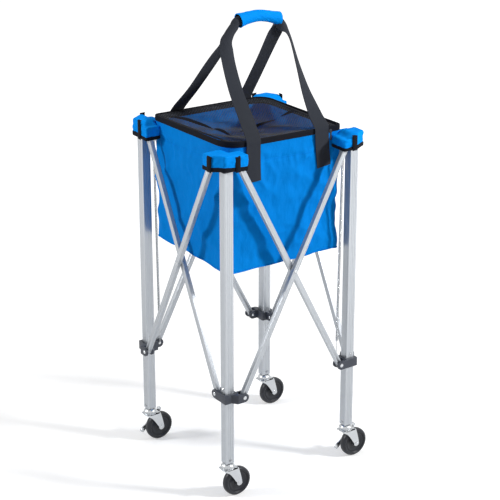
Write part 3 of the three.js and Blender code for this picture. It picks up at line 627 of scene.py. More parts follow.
def helix(low, high, radius, wire, pitch, turn_steps=9):
    rings, length = [], (high - low).length
    along = (high - low).normalized()
    out = along.orthogonal().normalized()
    over = along.cross(out)
    steps = int(length / pitch * turn_steps)
    for i in range(steps + 1):
        a = 2 * math.pi * i / turn_steps
        spoke = out * math.cos(a) + over * math.sin(a)
        centre = low + along * length * i / steps
        rings.append([centre + spoke * (radius + x) + along * y for x, y in circle(wire, 5)])
    return loft(rings)


SPRING_HIGH = Vector((-5.0, PIVOT, BRACKET_Z - 4))
SPRING_LOW = Vector((6.6, PIVOT, SLIDER_Z + 2))
ROD_RADIUS = 1.0
spring_line = SPRING_HIGH - SPRING_LOW
coil = helix(SPRING_LOW + spring_line * 0.1, SPRING_HIGH, radius=3.0, wire=0.75, pitch=2.5)
rod = loft([
    [SPRING_LOW + spring_line * share + Vector((x, y, 0)) for x, y in circle(ROD_RADIUS)]
    for share in (0, 0.24)
])
for k in (1, 3):
    name = f"{CORNERS[k]}_opening_spring"
    piece(name, coil, ZINC, f"{CORNERS[k]}_leg", "zinc", place=at_leg(k), smooth=80)
    piece(f"{name}_rod", rod, ZINC, f"{CORNERS[k]}_slider", "zinc", place=at_leg(k))


# Casters

CASTER_TOP = LEG_BOTTOM - 1
CROWN_TOP = LEG_BOTTOM - 16.4
CROWN_LOW = LEG_BOTTOM - 19.2
CROWN_HALF = 16.0
FORK_PLATE = 2.5
WHEEL_RADIUS = 40.0
BRAKED = ("front_right", "rear_left")


def ball(x, y, z, radius):
    profile = [(radius * math.sin(math.pi * i / 6), radius * math.cos(math.pi * i / 6)) for i in range(7)]
    return moved(lathe(profile, "Z", 10), x, y, z)


def swivel_race():
    """Two stacked dished rings on the stem, and the balls that show between them."""
    drops = [
        (5.4, 0), (9.0, 0), (11.8, 0.7), (14.6, 2.6), (17.0, 5.8), (18.4, 8.4), (18.7, 9.6), (18.2, 10.6),
        (16.4, 11.0), (16.2, 12.0), (17.8, 12.4), (18.6, 13.2), (18.7, 14.4), (17.9, 15.6), (16.0, 16.2),
        (5.4, 16.2), (5.4, 0),
    ]
    profile = [(r, CASTER_TOP - drop) for r, drop in drops]
    balls = [ball(x, y, CASTER_TOP - 11.5, radius=1.3) for x, y in circle(16.7, 18)]
    return [lathe(profile, "Z", 48), *balls]


def fork_plate():
    """The outline of one side of the fork, from the crown down to its eye."""
    back = [(-17.6, CROWN_TOP), (-17.8, 79.6), (-12, 76.0), (-3.5, 70), (6, 58), (14.4, 45.0), (19.2, 38.6)]
    eye = arc_points(TRAIL, AXLE_Z, 8.2, math.radians(168), math.radians(352), 16)
    front = [(35.0, 36.4), (33.0, 49), (29.4, 64), (25.6, 77), (23.5, CROWN_TOP)]
    return [*smooth_line(back, 5), *eye, *smooth_line(front, 4)]


def caster_fork(braked):
    crown = [
        *arc_points(-8.7, -6, 10, math.pi, 1.5 * math.pi, 6), (21, -CROWN_HALF), (23.5, -13.4), (23.5, 13.4),
        (21, CROWN_HALF), *arc_points(-8.7, 6, 10, 0.5 * math.pi, math.pi, 6),
    ]
    parts = [*swivel_race(), extruded(crown, CROWN_LOW, CROWN_TOP)]
    for y in (-CROWN_HALF, CROWN_HALF - FORK_PLATE):
        parts.append(upright(fork_plate(), y, y + FORK_PLATE))
    for side in (-1, 1):
        face = side * CROWN_HALF
        nut = [(5.0, face - side * 0.3), *[(r, face + side * h) for r, h in dome(5.0, 1.9, 0)]]
        parts.append(moved(lathe(nut if side > 0 else nut[::-1], "Y", 28), TRAIL, 0, AXLE_Z))
    parts.append(moved(lathe([(4, -15.8), (4, 15.8)], "Y", 20), TRAIL, 0, AXLE_Z))
    if braked:
        lever_x, lever_z = TRAIL - 16.0, AXLE_Z + 13.5
        boss = [(7, CROWN_HALF - FORK_PLATE), (7, CROWN_HALF)]
        pin = [(3, 15.9), (3, 19.7), (4.6, 19.7), *dome(4.6, 1.4, 19.8)]
        parts.append(moved(lathe(boss, "Y", 28), lever_x, 0, lever_z))
        parts.append(moved(lathe(pin, "Y", 24), lever_x, 0, lever_z))
    return merge(*parts)


def wheel_shape():
    """The tyre and its hub, turned about the axle."""
    half = [
        (4.3, 12), (8.2, 12), (9.6, 11.3), (10.4, 9.6), (10.8, 6.8), (12.4, 6.3), (23.5, 6.6), (24.4, 7.4),
        (25.6, 7.4), (26.6, 6.4), (29.6, 6.4), (30.6, 7.2), (31.0, 9.2), (32.2, 10.0), (35.2, 9.6),
        (37.6, 8.2), (39.2, 6.2), (39.9, 3.4), (WHEEL_RADIUS, 0),
    ]
    profile = half + [(r, -h) for r, h in half[-2::-1]] + [half[0]]
    return moved(lathe(profile, "Y", 96), TRAIL, 0, AXLE_Z)


def lever_shape():
    """The brake's plate beside the fork, with a foot pad at each end."""
    toe, heel = Vector((TRAIL - 41, AXLE_Z - 10)), Vector((TRAIL + 10, AXLE_Z + 38))
    along = (heel - toe).normalized()
    across = Vector((along.y, -along.x))
    edge = [
        (-9, 3.6), (-7.6, 6.0), (-5, 7), (5, 7), (8, 6.2), (11, 4.6), (26, 4.2), (30, 6.4), (34.4, 7.2),
        (38.6, 6.4), (43, 4.2), (58, 4.4), (61, 6.2), (65, 7), (75, 7), (78, 6), (79, 3.6),
    ]
    outline = edge + [(u, -v) for u, v in edge[::-1]]
    points = [toe + along * u + across * v for u, v in outline]
    return upright(points, CROWN_HALF + 0.4, CROWN_HALF + 3.4)


def softened(obj):
    """a pressed or cast piece's rounded edges"""
    bevelled(obj, width=0.5, segments=2, degrees=35)
    shade(obj.data, 35)


wheel_part = wheel_shape()
for k, name in enumerate(CORNERS):
    place = Matrix.Translation(corner(k) @ LEG_PLACE)
    fork, braked = f"{name}_caster_fork", name in BRAKED
    piece(f"{fork}_plates", caster_fork(braked), ZINC, fork, "zinc", fork, place=place)
    wheel = f"{name}_wheel"
    piece(f"{wheel}_tyre", wheel_part, TYRE, wheel, "tyre", wheel, place=place, smooth=50)
    if braked:
        lever = f"{name}_brake_lever"
        softened(piece(f"{lever}_plate", lever_shape(), ZINC, lever, "zinc", lever, place=place))
for name in CORNERS:
    for node, look in (("caster_stem", STEEL), ("lock_button", ZINC)):
        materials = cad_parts[f"{name}_{node}"].data.materials
        materials.clear()
        materials.append(look)


# Bag: one shell is lofted, wrinkled and then split into its four walls

PER_SIDE = 64
ROWS = [RIM, 944, 940, 935.5, 931, 926, 920, 914, 908, 902, 896.5]
ROWS += [SEAM_Z, 885.5, 880, 874, 868, 862, 855, 848]
ROWS += [ROWS[-1] - 6.5 * i for i in range(1, 36)] + [BAG_BOTTOM]
FIRST_CLOTH_ROW = 2
LAST_ROW = len(ROWS) - 1

# Each corner's (share of the way down, radius) pairs
SHARP = [(0, 13), (0.12, 16), (0.45, 22), (0.8, 16), (1, 7)]
NEAR_CORNER = [(0, 52), (0.1, 46), (0.3, 28), (0.7, 20), (1, 7)]
FAR_CORNER = [(0, 42), (0.1, 38), (0.4, 26), (1, 7)]
CORNER_RADII = [NEAR_CORNER, SHARP, FAR_CORNER, SHARP]

BULGE = 3.0
NEAR_RISE, FAR_DROP = 9, 6  # of the rim at the near and the far corner

FOLD_SCALE = 1.35
PUCKER_Z, PUCKER_HEIGHT = 886, 13  # below the seam
SEAM_SINK = 1.5
HEM_WAVE = 7.0

# Where the middles of each handle's two feet lie along their wall
FEET = {0: (-101, 112), 2: (101.5, -115.5)}
FOOT_HALF = 24
FOOT_FADE = 14
FOOT_REACH = 842

# The open lid swings down beside the left and right walls, so their folds stay out of its way.
LID_TAPER = 0.062
LID_REACH = 345
LID_FADE = 60
LID_FOLD_SHARE = 0.15


def between(table, t):
    for (a, u), (b, v) in zip(table, table[1:]):
        if t <= b:
            return u + (v - u) * eased((t - a) / (b - a))
    return table[-1][1]


def drop_of(z):
    return (RIM - z) / (RIM - BAG_BOTTOM)


def shell_point(k, w, z, proud=0.0):
    """x and y of a point of side k, at w from -1 to 1 between its corners' middles"""
    t = drop_of(z)
    half = HALF_TOP + (HALF_BOTTOM - HALF_TOP) * t
    radius = between(CORNER_RADII[k if w < 0 else (k + 1) % 4], t)
    reach = (half - radius) + math.pi * radius / 4
    d = abs(w) * reach
    if d <= half - radius:
        along, out, nx, ny = d, half, 0.0, 1.0
    else:
        a = (d - (half - radius)) / radius
        along, out = half - radius + radius * math.sin(a), half - radius + radius * math.cos(a)
        nx, ny = math.sin(a), math.cos(a)
    middle = max(0.0, 1 - (along / half) ** 2)
    swell = math.sin(math.pi * clamped((t - 0.05) / 0.95))
    push = proud + BULGE * swell * middle
    return math.copysign(along + nx * push, w), -(out + ny * push)


def tilt(x, y, z):
    """The rim stands a little high at the near corner and low at the far one."""
    u, v = x / HALF_TOP, y / HALF_TOP
    lift = (NEAR_RISE * (1 - u) * (1 - v) - FAR_DROP * (1 + u) * (1 + v)) / 4
    return lift * clamped(1 - drop_of(z))


def turned(k, x, y, z):
    """a point of the front side taken to side k"""
    a = k * math.pi / 2
    cos, sin = round(math.cos(a)), round(math.sin(a))
    x, y = x * cos - y * sin, x * sin + y * cos
    return Vector((x, y, z + tilt(x, y, z)))


def crest(x):
    """a fold's profile from -1 to 1: narrow ridges between broad hollows"""
    return 2 * (1 - abs(math.sin(x))) ** 1.6 - 0.6


def corner_ridges(k, along, z, warp):
    """folds that fan out from the two corners where a wall hangs"""
    ridges = 0.0
    for side in (-1, 1):
        across, down = side * (side * SIDE_HALF - along), LEG_TOP - z
        distance = math.hypot(across, down)
        angle = math.atan2(down, max(across, 1e-6))
        pull = bell(distance, 75, 85) * min(1.0, distance / 40)
        ridges += pull * crest(angle * 5.5 + warp / 22 + k * 1.7 + side * 0.8)
    return ridges


def fold_height(p, k, w, z):
    """How far the cloth's folds stand proud at a point, in mm."""
    t = drop_of(z)
    band_share = 0.045  # of the wall, kept flat by the rim's band
    if t < band_share:
        return 0.0
    free = min(1.0, (t - band_share) * 12) * min(1.0, (1.02 - t) * 9)
    along = w * SIDE_HALF
    broad = 4.5 * noise.noise(p / 95 + Vector((3.1, 0, 0)))
    warp = 14 * noise.noise(p / 70 + Vector((9, 2, 4)))
    mid = 2.2 * wavy(p.x / 30, p.y / 30 + 7.7, p.z / 46)
    fine = 0.9 * wavy(p.x / 13, p.y / 13, p.z / 18)
    pucker = 1.9 * bell(z, PUCKER_Z, PUCKER_HEIGHT) * wavy(along / 9, k * 3, z / 40)
    ridge = 3.6 * corner_ridges(k, along, z, warp)
    sag = 3.4 * crest((z + 0.55 * abs(along) + warp) / 46 + k) * bell(t, 0.55, 0.3)
    near = abs(noise.noise(p / 78 + Vector((5.3, 2.0 * k, 1.1))))
    line = 1.7 * max(0.0, 1 - 5 * near) ** 1.5
    return FOLD_SCALE * free * (broad + mid + fine + pucker + ridge + sag + line)


def foot_share(k, along, z):
    """1 behind a handle's sewn foot, where the webbing keeps the wall flat"""
    share = 0.0
    for centre in FEET.get(k, ()):
        if z > FOOT_REACH:
            share = max(share, 1 - max(0.0, abs(along - centre) - FOOT_HALF) / FOOT_FADE)
    return share


def wall_point(k, w, z):
    x, y = shell_point(k, w, z)
    p = turned(k, x, y, z)
    proud = fold_height(p, k, w, z) * (1 - foot_share(k, x, z))
    if SIDES[k] in ("left", "right") and proud < 0:
        reach = math.hypot(HALF_TOP - p.y, RIM - z)
        proud *= LID_FOLD_SHARE + (1 - LID_FOLD_SHARE) * clamped((reach - LID_REACH) / LID_FADE)
    if z == SEAM_Z:
        proud -= SEAM_SINK
    x, y = shell_point(k, w, z, proud)
    dip = HEM_WAVE * wavy(w * 2.1 + k * 5, 0, 4) if z == BAG_BOTTOM else 0.0
    return turned(k, x, y, z + dip)


shell = {}
for k in range(4):
    for c in range(PER_SIDE + 1):
        for r, z in enumerate(ROWS):
            shell[k, c, r] = wall_point(k, 2 * c / PER_SIDE - 1, z)
for k in range(4):  # neighbours share their corner seam
    for r in range(len(ROWS)):
        a, b = shell[k, PER_SIDE, r], shell[(k + 1) % 4, 0, r]
        shell[k, PER_SIDE, r] = shell[(k + 1) % 4, 0, r] = (a + b) / 2


def gather(obj):
    """Gives the piece a mesh of its own."""
    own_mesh(obj)


def bag_trim(name, k, lines, look, slot):
    """Sections swept along lines of the bag's side k, as one piece that folds with it."""
    part = merge(*[sweep(line, section) for line, section in lines])
    gather(piece(name, part, look, BAG_BODIES[k], slot, smooth=60))


for k, side in enumerate(SIDES):
    rows = range(FIRST_CLOTH_ROW, len(ROWS))
    verts = [shell[k, c, r] for r in rows for c in range(PER_SIDE + 1)]
    wall = build(f"bag_{side}_wall_cloth", (verts, grid_faces(len(rows), PER_SIDE + 1)), [CLOTH], smooth=80)
    thickened(modified(wall, "SUBSURF", levels=1, render_levels=1), 1.2)
    finish_piece(wall, BAG_BODIES[k], "cloth", f"bag_{side}_wall")
    gather(wall)


# Bands and cords that follow the rim

def rim_line(k, z, proud):
    points = [shell_point(k, 2 * c / PER_SIDE - 1, z, proud) for c in range(PER_SIDE + 1)]
    return [turned(k, x, y, z) for x, y in points]


def slimmed(p):
    """The lid narrows towards its free edge, so that it swings down between the tapering walls."""
    return Vector((p[0] * (1 - LID_TAPER * (HALF_TOP - p[1]) / (2 * HALF_TOP)), p[1], p[2]))


def band_section(thickness, height, bevel=0.5):
    t, h, b = thickness / 2, height / 2, bevel
    lower = [(-t, -h + b), (-t + b, -h), (t - b, -h), (t, -h + b)]
    return lower + [(-x, -z) for x, z in lower]


# Each run's depth below the rim, how far it stands proud of the wall, and its section
RIM_PIECES = {
    "zip_tape": [
        (11.0, 1.3, band_section(1.8, 6.0)),
        (7.5, 1.7, circle(1.3)),
        (11.5, -2.1, band_section(1.2, 12.0)),
    ],
    "rim_band": [
        (4.0, 1.3, band_section(1.8, 6.0)),
        (0.6, 0.4, circle(1.8, 10)),
    ],
}
BORDER_DEPTH, BORDER_INSET = 2.2, 5.0
BORDER_SECTION = [(-3.4, -0.5), (3.4, -0.5), (3.4, 0.5), (-3.4, 0.5)]
SEAM_SECTION = [(-0.4, -1.4), (0.9, -0.9), (1.1, 0), (0.9, 0.9), (-0.4, 1.4)]
seam_row = ROWS.index(SEAM_Z)

for k, side in enumerate(SIDES):
    for label, runs in RIM_PIECES.items():
        lines = [(rim_line(k, RIM - depth, proud), section) for depth, proud, section in runs]
        bag_trim(f"bag_{side}_{label}", k, lines, BINDING, "webbing")
    border = [slimmed(p) for p in rim_line(k, RIM - BORDER_DEPTH, -BORDER_INSET)]
    lid_body, towards = ("lid_front", 0) if k in (0, 3) else ("lid_rear", 2)
    part = sweep(border, BORDER_SECTION)
    gather(piece(f"lid_{side}_binding", part, BINDING, lid_body, "webbing", smooth=60))
    seam_line = [shell[k, c, seam_row] for c in range(2, PER_SIDE - 1)]
    bag_trim(f"bag_{side}_seam", k, [(seam_line, SEAM_SECTION)], CLOTH, "cloth")
    hem_line = [shell[k, c, LAST_ROW] for c in range(PER_SIDE + 1)]
    bag_trim(f"bag_{side}_bottom_hem", k, [(hem_line, circle(1.9))], CLOTH, "cloth")


# Bottom and net lid: sheets cut into wedges about a corner of the frame

BOTTOM_GAP = 0.8
BOTTOM_RADIUS = 7.0
BOTTOM_LIFT = 1.2
NET_PITCH = 9.0
NET_INSET = 3.0
NET_DEPTH = 1.5
NET_SAG = 15
STRAND = 0.85


def cut_away(mesh, place, outward):
    """Cuts off what lies beyond a plane."""
    cutter = bmesh.new()
    cutter.from_mesh(mesh)
    geom = cutter.verts[:] + cutter.edges[:] + cutter.faces[:]
    bmesh.ops.bisect_plane(cutter, geom=geom, plane_co=place, plane_no=outward, clear_outer=True)
    cutter.to_mesh(mesh)
    cutter.free()


def wedges(sheet, k, edges, body, slot, node, name):
    """Cuts a sheet into wedges about corner k, 0 or 2, each a piece of its own on the body."""
    centre = -SIDE_HALF if k == 0 else SIDE_HALF
    origin = Vector(((centre + MIDDLE_X) * MM, centre * MM, 0))
    edges = [math.radians(edge + 90 * k) for edge in edges]
    for i, (a, b) in enumerate(zip(edges, edges[1:])):
        part = new_object(f"{name}_part_{i + 1}", sheet.data.copy())
        cut_away(part.data, origin, Vector((math.sin(a), -math.cos(a), 0)))
        cut_away(part.data, origin, Vector((-math.sin(b), math.cos(b), 0)))
        finish_piece(part, body, slot, *([node] if i == 0 else []))
        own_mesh(part)
    bpy.data.objects.remove(sheet)


def bottom_sheet(steps=40):
    half = HALF_BOTTOM - BOTTOM_GAP
    flat = half - BOTTOM_RADIUS
    verts = []
    for j in range(steps + 1):
        for i in range(steps + 1):
            u, v = 2 * i / steps - 1, 2 * j / steps - 1
            x, y = u * half, v * half
            cx, cy = abs(x) - flat, abs(y) - flat
            if cx > 0 and cy > 0:
                over = max(cx, cy) / math.hypot(cx, cy)
                x, y = math.copysign(flat + cx * over, x), math.copysign(flat + cy * over, y)
            sag = 3.5 * (1 - u * u) * (1 - v * v) + 1.2 * wavy(x / 60, y / 60, 2)
            verts.append((x, y, BAG_BOTTOM + BOTTOM_LIFT - sag))
    return verts, grid_faces(steps + 1, steps + 1)


bottom = build("bag_bottom_cloth", bottom_sheet(), [CLOTH], smooth=60)
thickened(bottom, 2.0)
wedges(bottom, 0, [0, 14, 28, 45, 62, 76, 90], "bag_front", "cloth", "bag_bottom", "bag_bottom_cloth")


def lid_height(x, y):
    """the sagging net's height"""
    u, v = x / HALF_TOP, y / HALF_TOP
    slack = (1 - u * u) * (1 - v * v)
    ripple = 4.4 * wavy(x / 55, y / 55, 9)
    return RIM - NET_DEPTH - (NET_SAG + ripple) * slack + tilt(x, y, RIM)


def inside_lid(x, y):
    radius = 12.0 if x * y < 0 else 50.0 if x < 0 else 40.0
    half = HALF_TOP - NET_INSET
    x, y = abs(x), abs(y)
    if x > half or y > half:
        return False
    cx, cy = x - (half - radius), y - (half - radius)
    return not (cx > 0 and cy > 0 and math.hypot(cx, cy) > radius)


def net_sheet():
    """A knitted net of open diamonds, as a grid whose edges become strands."""
    count = int(2 * HALF_TOP / NET_PITCH)
    step = NET_PITCH / 2
    bm = bmesh.new()
    cells = {}

    def vertex(i, j):
        if (i, j) not in cells:
            x, y = i * step, j * step
            cells[i, j] = bm.verts.new(slimmed((x, y, lid_height(x, y))) * MM)
        return cells[i, j]

    for i in range(-count, count + 1):
        for j in range(-count, count + 1):
            ring = [(i + 1, j), (i, j + 1), (i - 1, j), (i, j - 1)]
            if (i + j) % 2 == 0 and all(inside_lid(a * step, b * step) for a, b in ring):
                bm.faces.new([vertex(*cell) for cell in ring])
    mesh = bpy.data.meshes.new("net")
    bm.to_mesh(mesh)
    bm.free()
    obj = new_object("net", mesh)
    mesh.materials.append(NET)
    mesh.transform(CENTRE)
    modified(obj, "WIREFRAME", thickness=STRAND * MM, use_even_offset=False)
    obj.data.shade_smooth()
    return obj


net = net_sheet()
for sign, k, body in ((1, 0, "lid_front"), (-1, 2, "lid_rear")):
    half = new_object("half", net.data.copy())
    cut_away(half.data, (0, 0, 0), (0, sign, 0))
    wedges(half, k, [0, 14, 27, 45, 66, 90], body, "net", f"{body}_net", f"{body}_net")
bpy.data.objects.remove(net)


# Folds in the slack net, each a low ridge of doubled net

def net_fold(name, body, line, width):
    places = smooth_line([slimmed((x, y, lid_height(x, y) + 0.4)) for x, y in line], 6)
    rings = []
    for i, p in enumerate(places):
        share = math.sin(math.pi * i / (len(places) - 1)) ** 0.6
        out = direction_at(places, i).cross(Vector((0, 0, 1))).normalized()
        w, h = max(width * share, 0.6) / 2, max(5.5 * share, 0.4)
        rings.append([p + out * -w, p + Vector((0, 0, h)), p + out * w, p + Vector((0, 0, -0.5))])
    gather(piece(name, loft(rings), BINDING, body, "net", smooth=60))


REAR_FOLD = [(-150, 142), (-123, 102), (-111, 43), (-107, 2)]
FRONT_FOLD = [(-106, -2), (-105, -40), (-110, -82)]
FRONT_SEAM = [(-60, -54), (-17, -39), (30, -25), (91, -6)]
REAR_SEAM = [(112, 1), (149, 5), (166, 2)]
net_fold("lid_rear_net_fold", "lid_rear", REAR_FOLD, width=15)
net_fold("lid_front_net_fold", "lid_front", FRONT_FOLD, width=11)
net_fold("lid_front_net_seam", "lid_front", FRONT_SEAM, width=9)
net_fold("lid_rear_net_seam", "lid_rear", REAR_SEAM, width=9)


# Corner pockets: remeshed blocks round the brackets, creased and open below

POCKET_OUT = 22.4  # the front of a pocket's front arm from the leg's middle
POCKET_BULGE = 36.6  # and the outer side of its other arm
POCKET_REACH = 51.4
POCKET_INNER = 19.6
POCKET_BEND = 7.0
POCKET_LOW = 895.0
POCKET_TOP = 936.6
POCKET_HEIGHT = POCKET_TOP - POCKET_LOW
POCKET_VOXEL = 1.6
POCKET_HEM = 11.5
POCKET_DROP = (0.0, 0.0, 2.0, 5.0)  # how far each pocket's hem hangs lower
TAB_RISE = (2.0, -2.0, 4.0, 4.0)  # from a pocket's top to the top of its tabs


def pocket_block():
    """the pocket before it is creased, standing on z = 0"""
    middle = POCKET_BEND - POCKET_OUT
    outline = [
        (-POCKET_BULGE, POCKET_REACH), (-POCKET_BULGE, 11),
        *arc_points(middle, middle, POCKET_BEND, math.pi, 1.5 * math.pi, 6), (POCKET_REACH, -POCKET_OUT),
        (POCKET_REACH, POCKET_INNER), (POCKET_INNER, POCKET_INNER), (POCKET_INNER, POCKET_REACH),
    ]
    shape = bevelled(temporary(extruded(outline, 0, POCKET_HEIGHT)), width=2.6, segments=3, degrees=40)
    modified(shape, "REMESH", mode="VOXEL", voxel_size=POCKET_VOXEL * MM)
    bm = bmesh.new()
    bm.from_mesh(shape.data)
    bpy.data.objects.remove(shape)
    low = [f for f in bm.faces if all(v.co.z < 1.2 * MM for v in f.verts)]
    bmesh.ops.delete(bm, geom=low, context="FACES")
    every_way = {f"use_axis_{axis}": True for axis in "xyz"}
    for _ in range(3):
        bmesh.ops.smooth_vert(bm, verts=bm.verts, factor=0.5, **every_way)
    bm.normal_update()
    return bm


def from_edge(p):
    """how far a point is from the pocket's upright outer edge"""
    return math.hypot(p.x + POCKET_OUT, p.y + POCKET_OUT)


def pocket_push(p, facing_up, seed):
    """how far the cloth stands proud, with the hem's band a little further out"""
    if p.z < POCKET_HEM:
        return 0.9
    crumple = 1.9 * noise.noise(Vector((p.x / 15, p.y / 15, p.z / 10)) + seed)
    crumple += 0.5 * noise.noise(p / 6 + seed * 2)
    if max(p.x, p.y) > 30:
        crumple += 1.5 * noise.noise(Vector((p.x / 9, p.y / 9, p.z / 16)) + seed)
    crumple = max(crumple, -0.9)
    crease = 1.3 * bell(from_edge(p), 0, 6)
    pinch = 0.9 * bell(p.z, 13, 3.0)
    return (0.25 * crumple if facing_up else crumple + 0.3) - crease - pinch


def pocket_rise(p, k, seed):
    """The arms sink towards their ends, and the near pocket stands up at its corner instead."""
    height = p.z / POCKET_HEIGHT
    rise = 0.6 * abs(noise.noise(Vector((p.x / 20, p.y / 20, 5)) + seed)) * height ** 4
    rise -= POCKET_DROP[k] * (1 - height)
    if k == 0:
        return rise + 1.0 + 7.0 * bell(from_edge(p), 0, 40)
    return rise - 11.0 * eased(clamped((max(p.x, p.y) - 13) / 26)) * height


def pocket_mesh(k):
    bm = pocket_block()
    seed = Vector((k * 11.3, k * 3.7, 0))
    hem_faces = [f.calc_center_median().z < POCKET_HEM * MM for f in bm.faces]
    for v in bm.verts:
        p = v.co / MM
        v.co += v.normal * pocket_push(p, v.normal.z > 0.7, seed) * MM
        v.co.z += pocket_rise(p, k, seed) * MM
    bm.normal_update()
    for f, is_hem in zip(bm.faces, hem_faces):
        f.material_index = 1 if is_hem else 0
        f.smooth = True
    mesh = bpy.data.meshes.new("pocket")
    bm.to_mesh(mesh)
    bm.free()
    mesh.transform(Matrix.Translation((0, 0, POCKET_LOW * MM)))
    # the pocket's cloth is the brighter copy of the wall cloth, with painted light
    mesh.materials.append(CLOTH_WITH_PAINTED_LIGHT)
    mesh.materials.append(BINDING)
    return mesh


def tab_shape(along, out, half, low, high):
    """a webbing tab down the pocket's outer face, drawn on the front side"""
    upper = [(1.5, high), (-0.9, high - 1.5), (-1.8, high - 5), (-1.7, (low + high) / 2)]
    route = [*upper, (-2.2, low + 8), (-2.2, low)]
    section = [(-half, -0.3), (0.5 - half, -0.8), (half - 0.5, -0.8), (half, -0.3), (half, 0.5), (-half, 0.5)]
    line = smooth_line([(along, y - out, z) for y, z in route], 5)
    return loft([[p + Vector((x, y, 0)) for x, y in section] for p in line])


for k, name in enumerate(CORNERS):
    mesh = pocket_mesh(k)
    pocket = new_object(f"{name}_bag_pocket_cloth", mesh)
    mesh.transform(at_leg(k))
    thickened(pocket, 1.1)
    finish_piece(pocket, BAG_BODIES[k], "cloth", f"{name}_bag_pocket")
    near = k == 0
    low, high = POCKET_LOW - 0.6 - POCKET_DROP[k] + (4.0 if near else 0.0), POCKET_TOP + TAB_RISE[k]
    tab = tab_shape(along=19.5, out=POCKET_OUT, half=7.2, low=low, high=high)
    along, half = (17.5, 9.6) if near else (20.5, 7.6)
    tabs = merge(tab, swapped(tab_shape(along, POCKET_BULGE, half, low, high)))
    label = f"{name}_bag_pocket_tabs"
    piece(label, tabs, BINDING, BAG_BODIES[k], "webbing", place=at_leg(k), smooth=50)


# Handles and wrap

WRAP_Z = 1207.0
WRAP_X = 38.0
WRAP_HALF = 62.0
WRAP_RADIUS = 15.0
WRAP_INNER_SHARE = 0.88
STRAP_WIDTH = 42.0
STRAP_THICKNESS = 2.0
STRAP_Y = 177.0  # of a strap's feet, flat on their wall

# Stations of (place, outer direction, curl across the strap in degrees)
FRONT = [
    ((-99.5, -STRAP_Y, FOOT_END), (0, -1, 0), 2),
    ((-100.7, -177.2, 895), (0, -1, 0), 2),
    ((-102, -178.6, 936), (0, -1, 0), 2),
    ((-102, -177.6, 960), (0, -1, 0.15), 3),
    ((-101, -146, 1003), (0, -1, 0.3), 6),
    ((-101, -102, 1063), (0.05, -1, 0.3), 8),
    ((-95, -62, 1124), (0.1, -1, 0.3), 14),
    ((-81, -36, 1163), (-0.1, -1, 0.2), 90),
    ((-62, -21, 1185), (-0.35, -1, 0.1), 200),
    ((-42, -13.0, 1201), (-0.2, -1, 0.3), 220),
    ((-24, -10.7, 1211.0), (0, -1, 0), 225),
    ((38, -10.7, 1216.2), (0, -1, 0), 225),
    ((88, -10.7, 1203.5), (0, -1, 0), 225),
    ((103, -13.2, 1192), (0.2, -1, 0.3), 170),
    ((111, -21, 1176), (0.6, -1.0, 0.1), 95),
    ((112, -40, 1152), (0.8, -0.9, 0), 30),
    ((105, -82, 1092), (0.65, -0.85, 0.1), 12),
    ((101, -121, 1035), (0.45, -1, 0.2), 8),
    ((105, -156, 981), (0.1, -1, 0.3), 5),
    ((107.5, -177.4, 956), (0, -1, 0.15), 3),
    ((108.7, -178.6, 934), (0, -1, 0), 2),
    ((112.8, -177.2, 895), (0, -1, 0), 2),
    ((118, -STRAP_Y, FOOT_END), (0, -1, 0), 2),
]
REAR = [
    ((-101.5, STRAP_Y, FOOT_END), (0, 1, 0), 2),
    ((-101.5, 177.2, 895), (0, 1, 0), 2),
    ((-101, 178.6, 930), (0, 1, 0), 2),
    ((-97, 177.0, 952), (-0.15, 1, 0.15), 3),
    ((-74, 136, 1012), (-0.2, 1, 0.3), 6),
    ((-52, 88, 1086), (-0.16, 1, 0.3), 12),
    ((-43, 52, 1138), (-0.2, 1, 0.2), 50),
    ((-46, 27, 1176), (-0.3, 1, 0.2), 150),
    ((-40, 12.0, 1200), (-0.3, 1, 0.3), 230),
    ((-24, 8.3, 1211.0), (0, 1, 0), 290),
    ((38, 8.3, 1216.2), (0, 1, 0), 290),
    ((88, 8.3, 1203.5), (0, 1, 0), 290),
    ((102, 13.5, 1193), (0.2, 1, 0.3), 200),
    ((110, 29, 1168), (0.3, 1, 0.2), 90),
    ((116, 54, 1134), (0.1, 1, 0.3), 20),
    ((118, 90, 1082), (0, 1, 0.3), 10),
    ((117, 132, 1018), (0, 1, 0.3), 6),
    ((115.5, 177.2, 948), (0, 1, 0.15), 3),
    ((115.5, 178.6, 928), (0, 1, 0), 2),
    ((115.5, 177.2, 895), (0, 1, 0), 2),
    ((115.5, STRAP_Y, FOOT_END), (0, 1, 0), 2),
]


def strap(name, stations, across_steps=12):
    """Webbing of constant width, curled across and with coordinates in mm along it."""
    places = smooth_line([place for place, _, _ in stations], 8)
    normals = smooth_line([outer for _, outer, _ in stations], 8)
    curls = smooth_line([(curl, 0) for _, _, curl in stations], 8)
    rings, runs = [], [0.0]
    for i, p in enumerate(places):
        along = direction_at(places, i)
        normal = (normals[i] - along * normals[i].dot(along)).normalized()
        across = along.cross(normal)
        if i:
            runs.append(runs[-1] + (p - places[i - 1]).length)
        curl = math.radians(max(curls[i].x, 0.5))
        radius = STRAP_WIDTH / curl
        rows = []
        for r in (radius + STRAP_THICKNESS / 2, radius - STRAP_THICKNESS / 2):
            angles = [curl * (j / across_steps - 0.5) for j in range(across_steps + 1)]
            rows.append([p + across * r * math.sin(a) + normal * (r * math.cos(a) - radius) for a in angles])
        rings.append(rows[0] + rows[1][::-1])
    obj = build(name, loft(rings), [WEBBING], smooth=50)
    count = len(rings[0])
    layer = obj.data.uv_layers.new(name="UVMap")
    for loop in obj.data.loops:
        ring, j = divmod(loop.vertex_index, count)
        j = j if j <= across_steps else count - 1 - j
        layer.data[loop.index].uv = (runs[min(ring, len(runs) - 1)], STRAP_WIDTH * j / across_steps)
    return obj


for k, side, stations in ((0, "front", FRONT), (2, "rear", REAR)):
    webbing = strap(f"{side}_handle_webbing", stations)
    finish_piece(webbing, BAG_BODIES[k], "webbing", f"{side}_handle")
    gather(webbing)


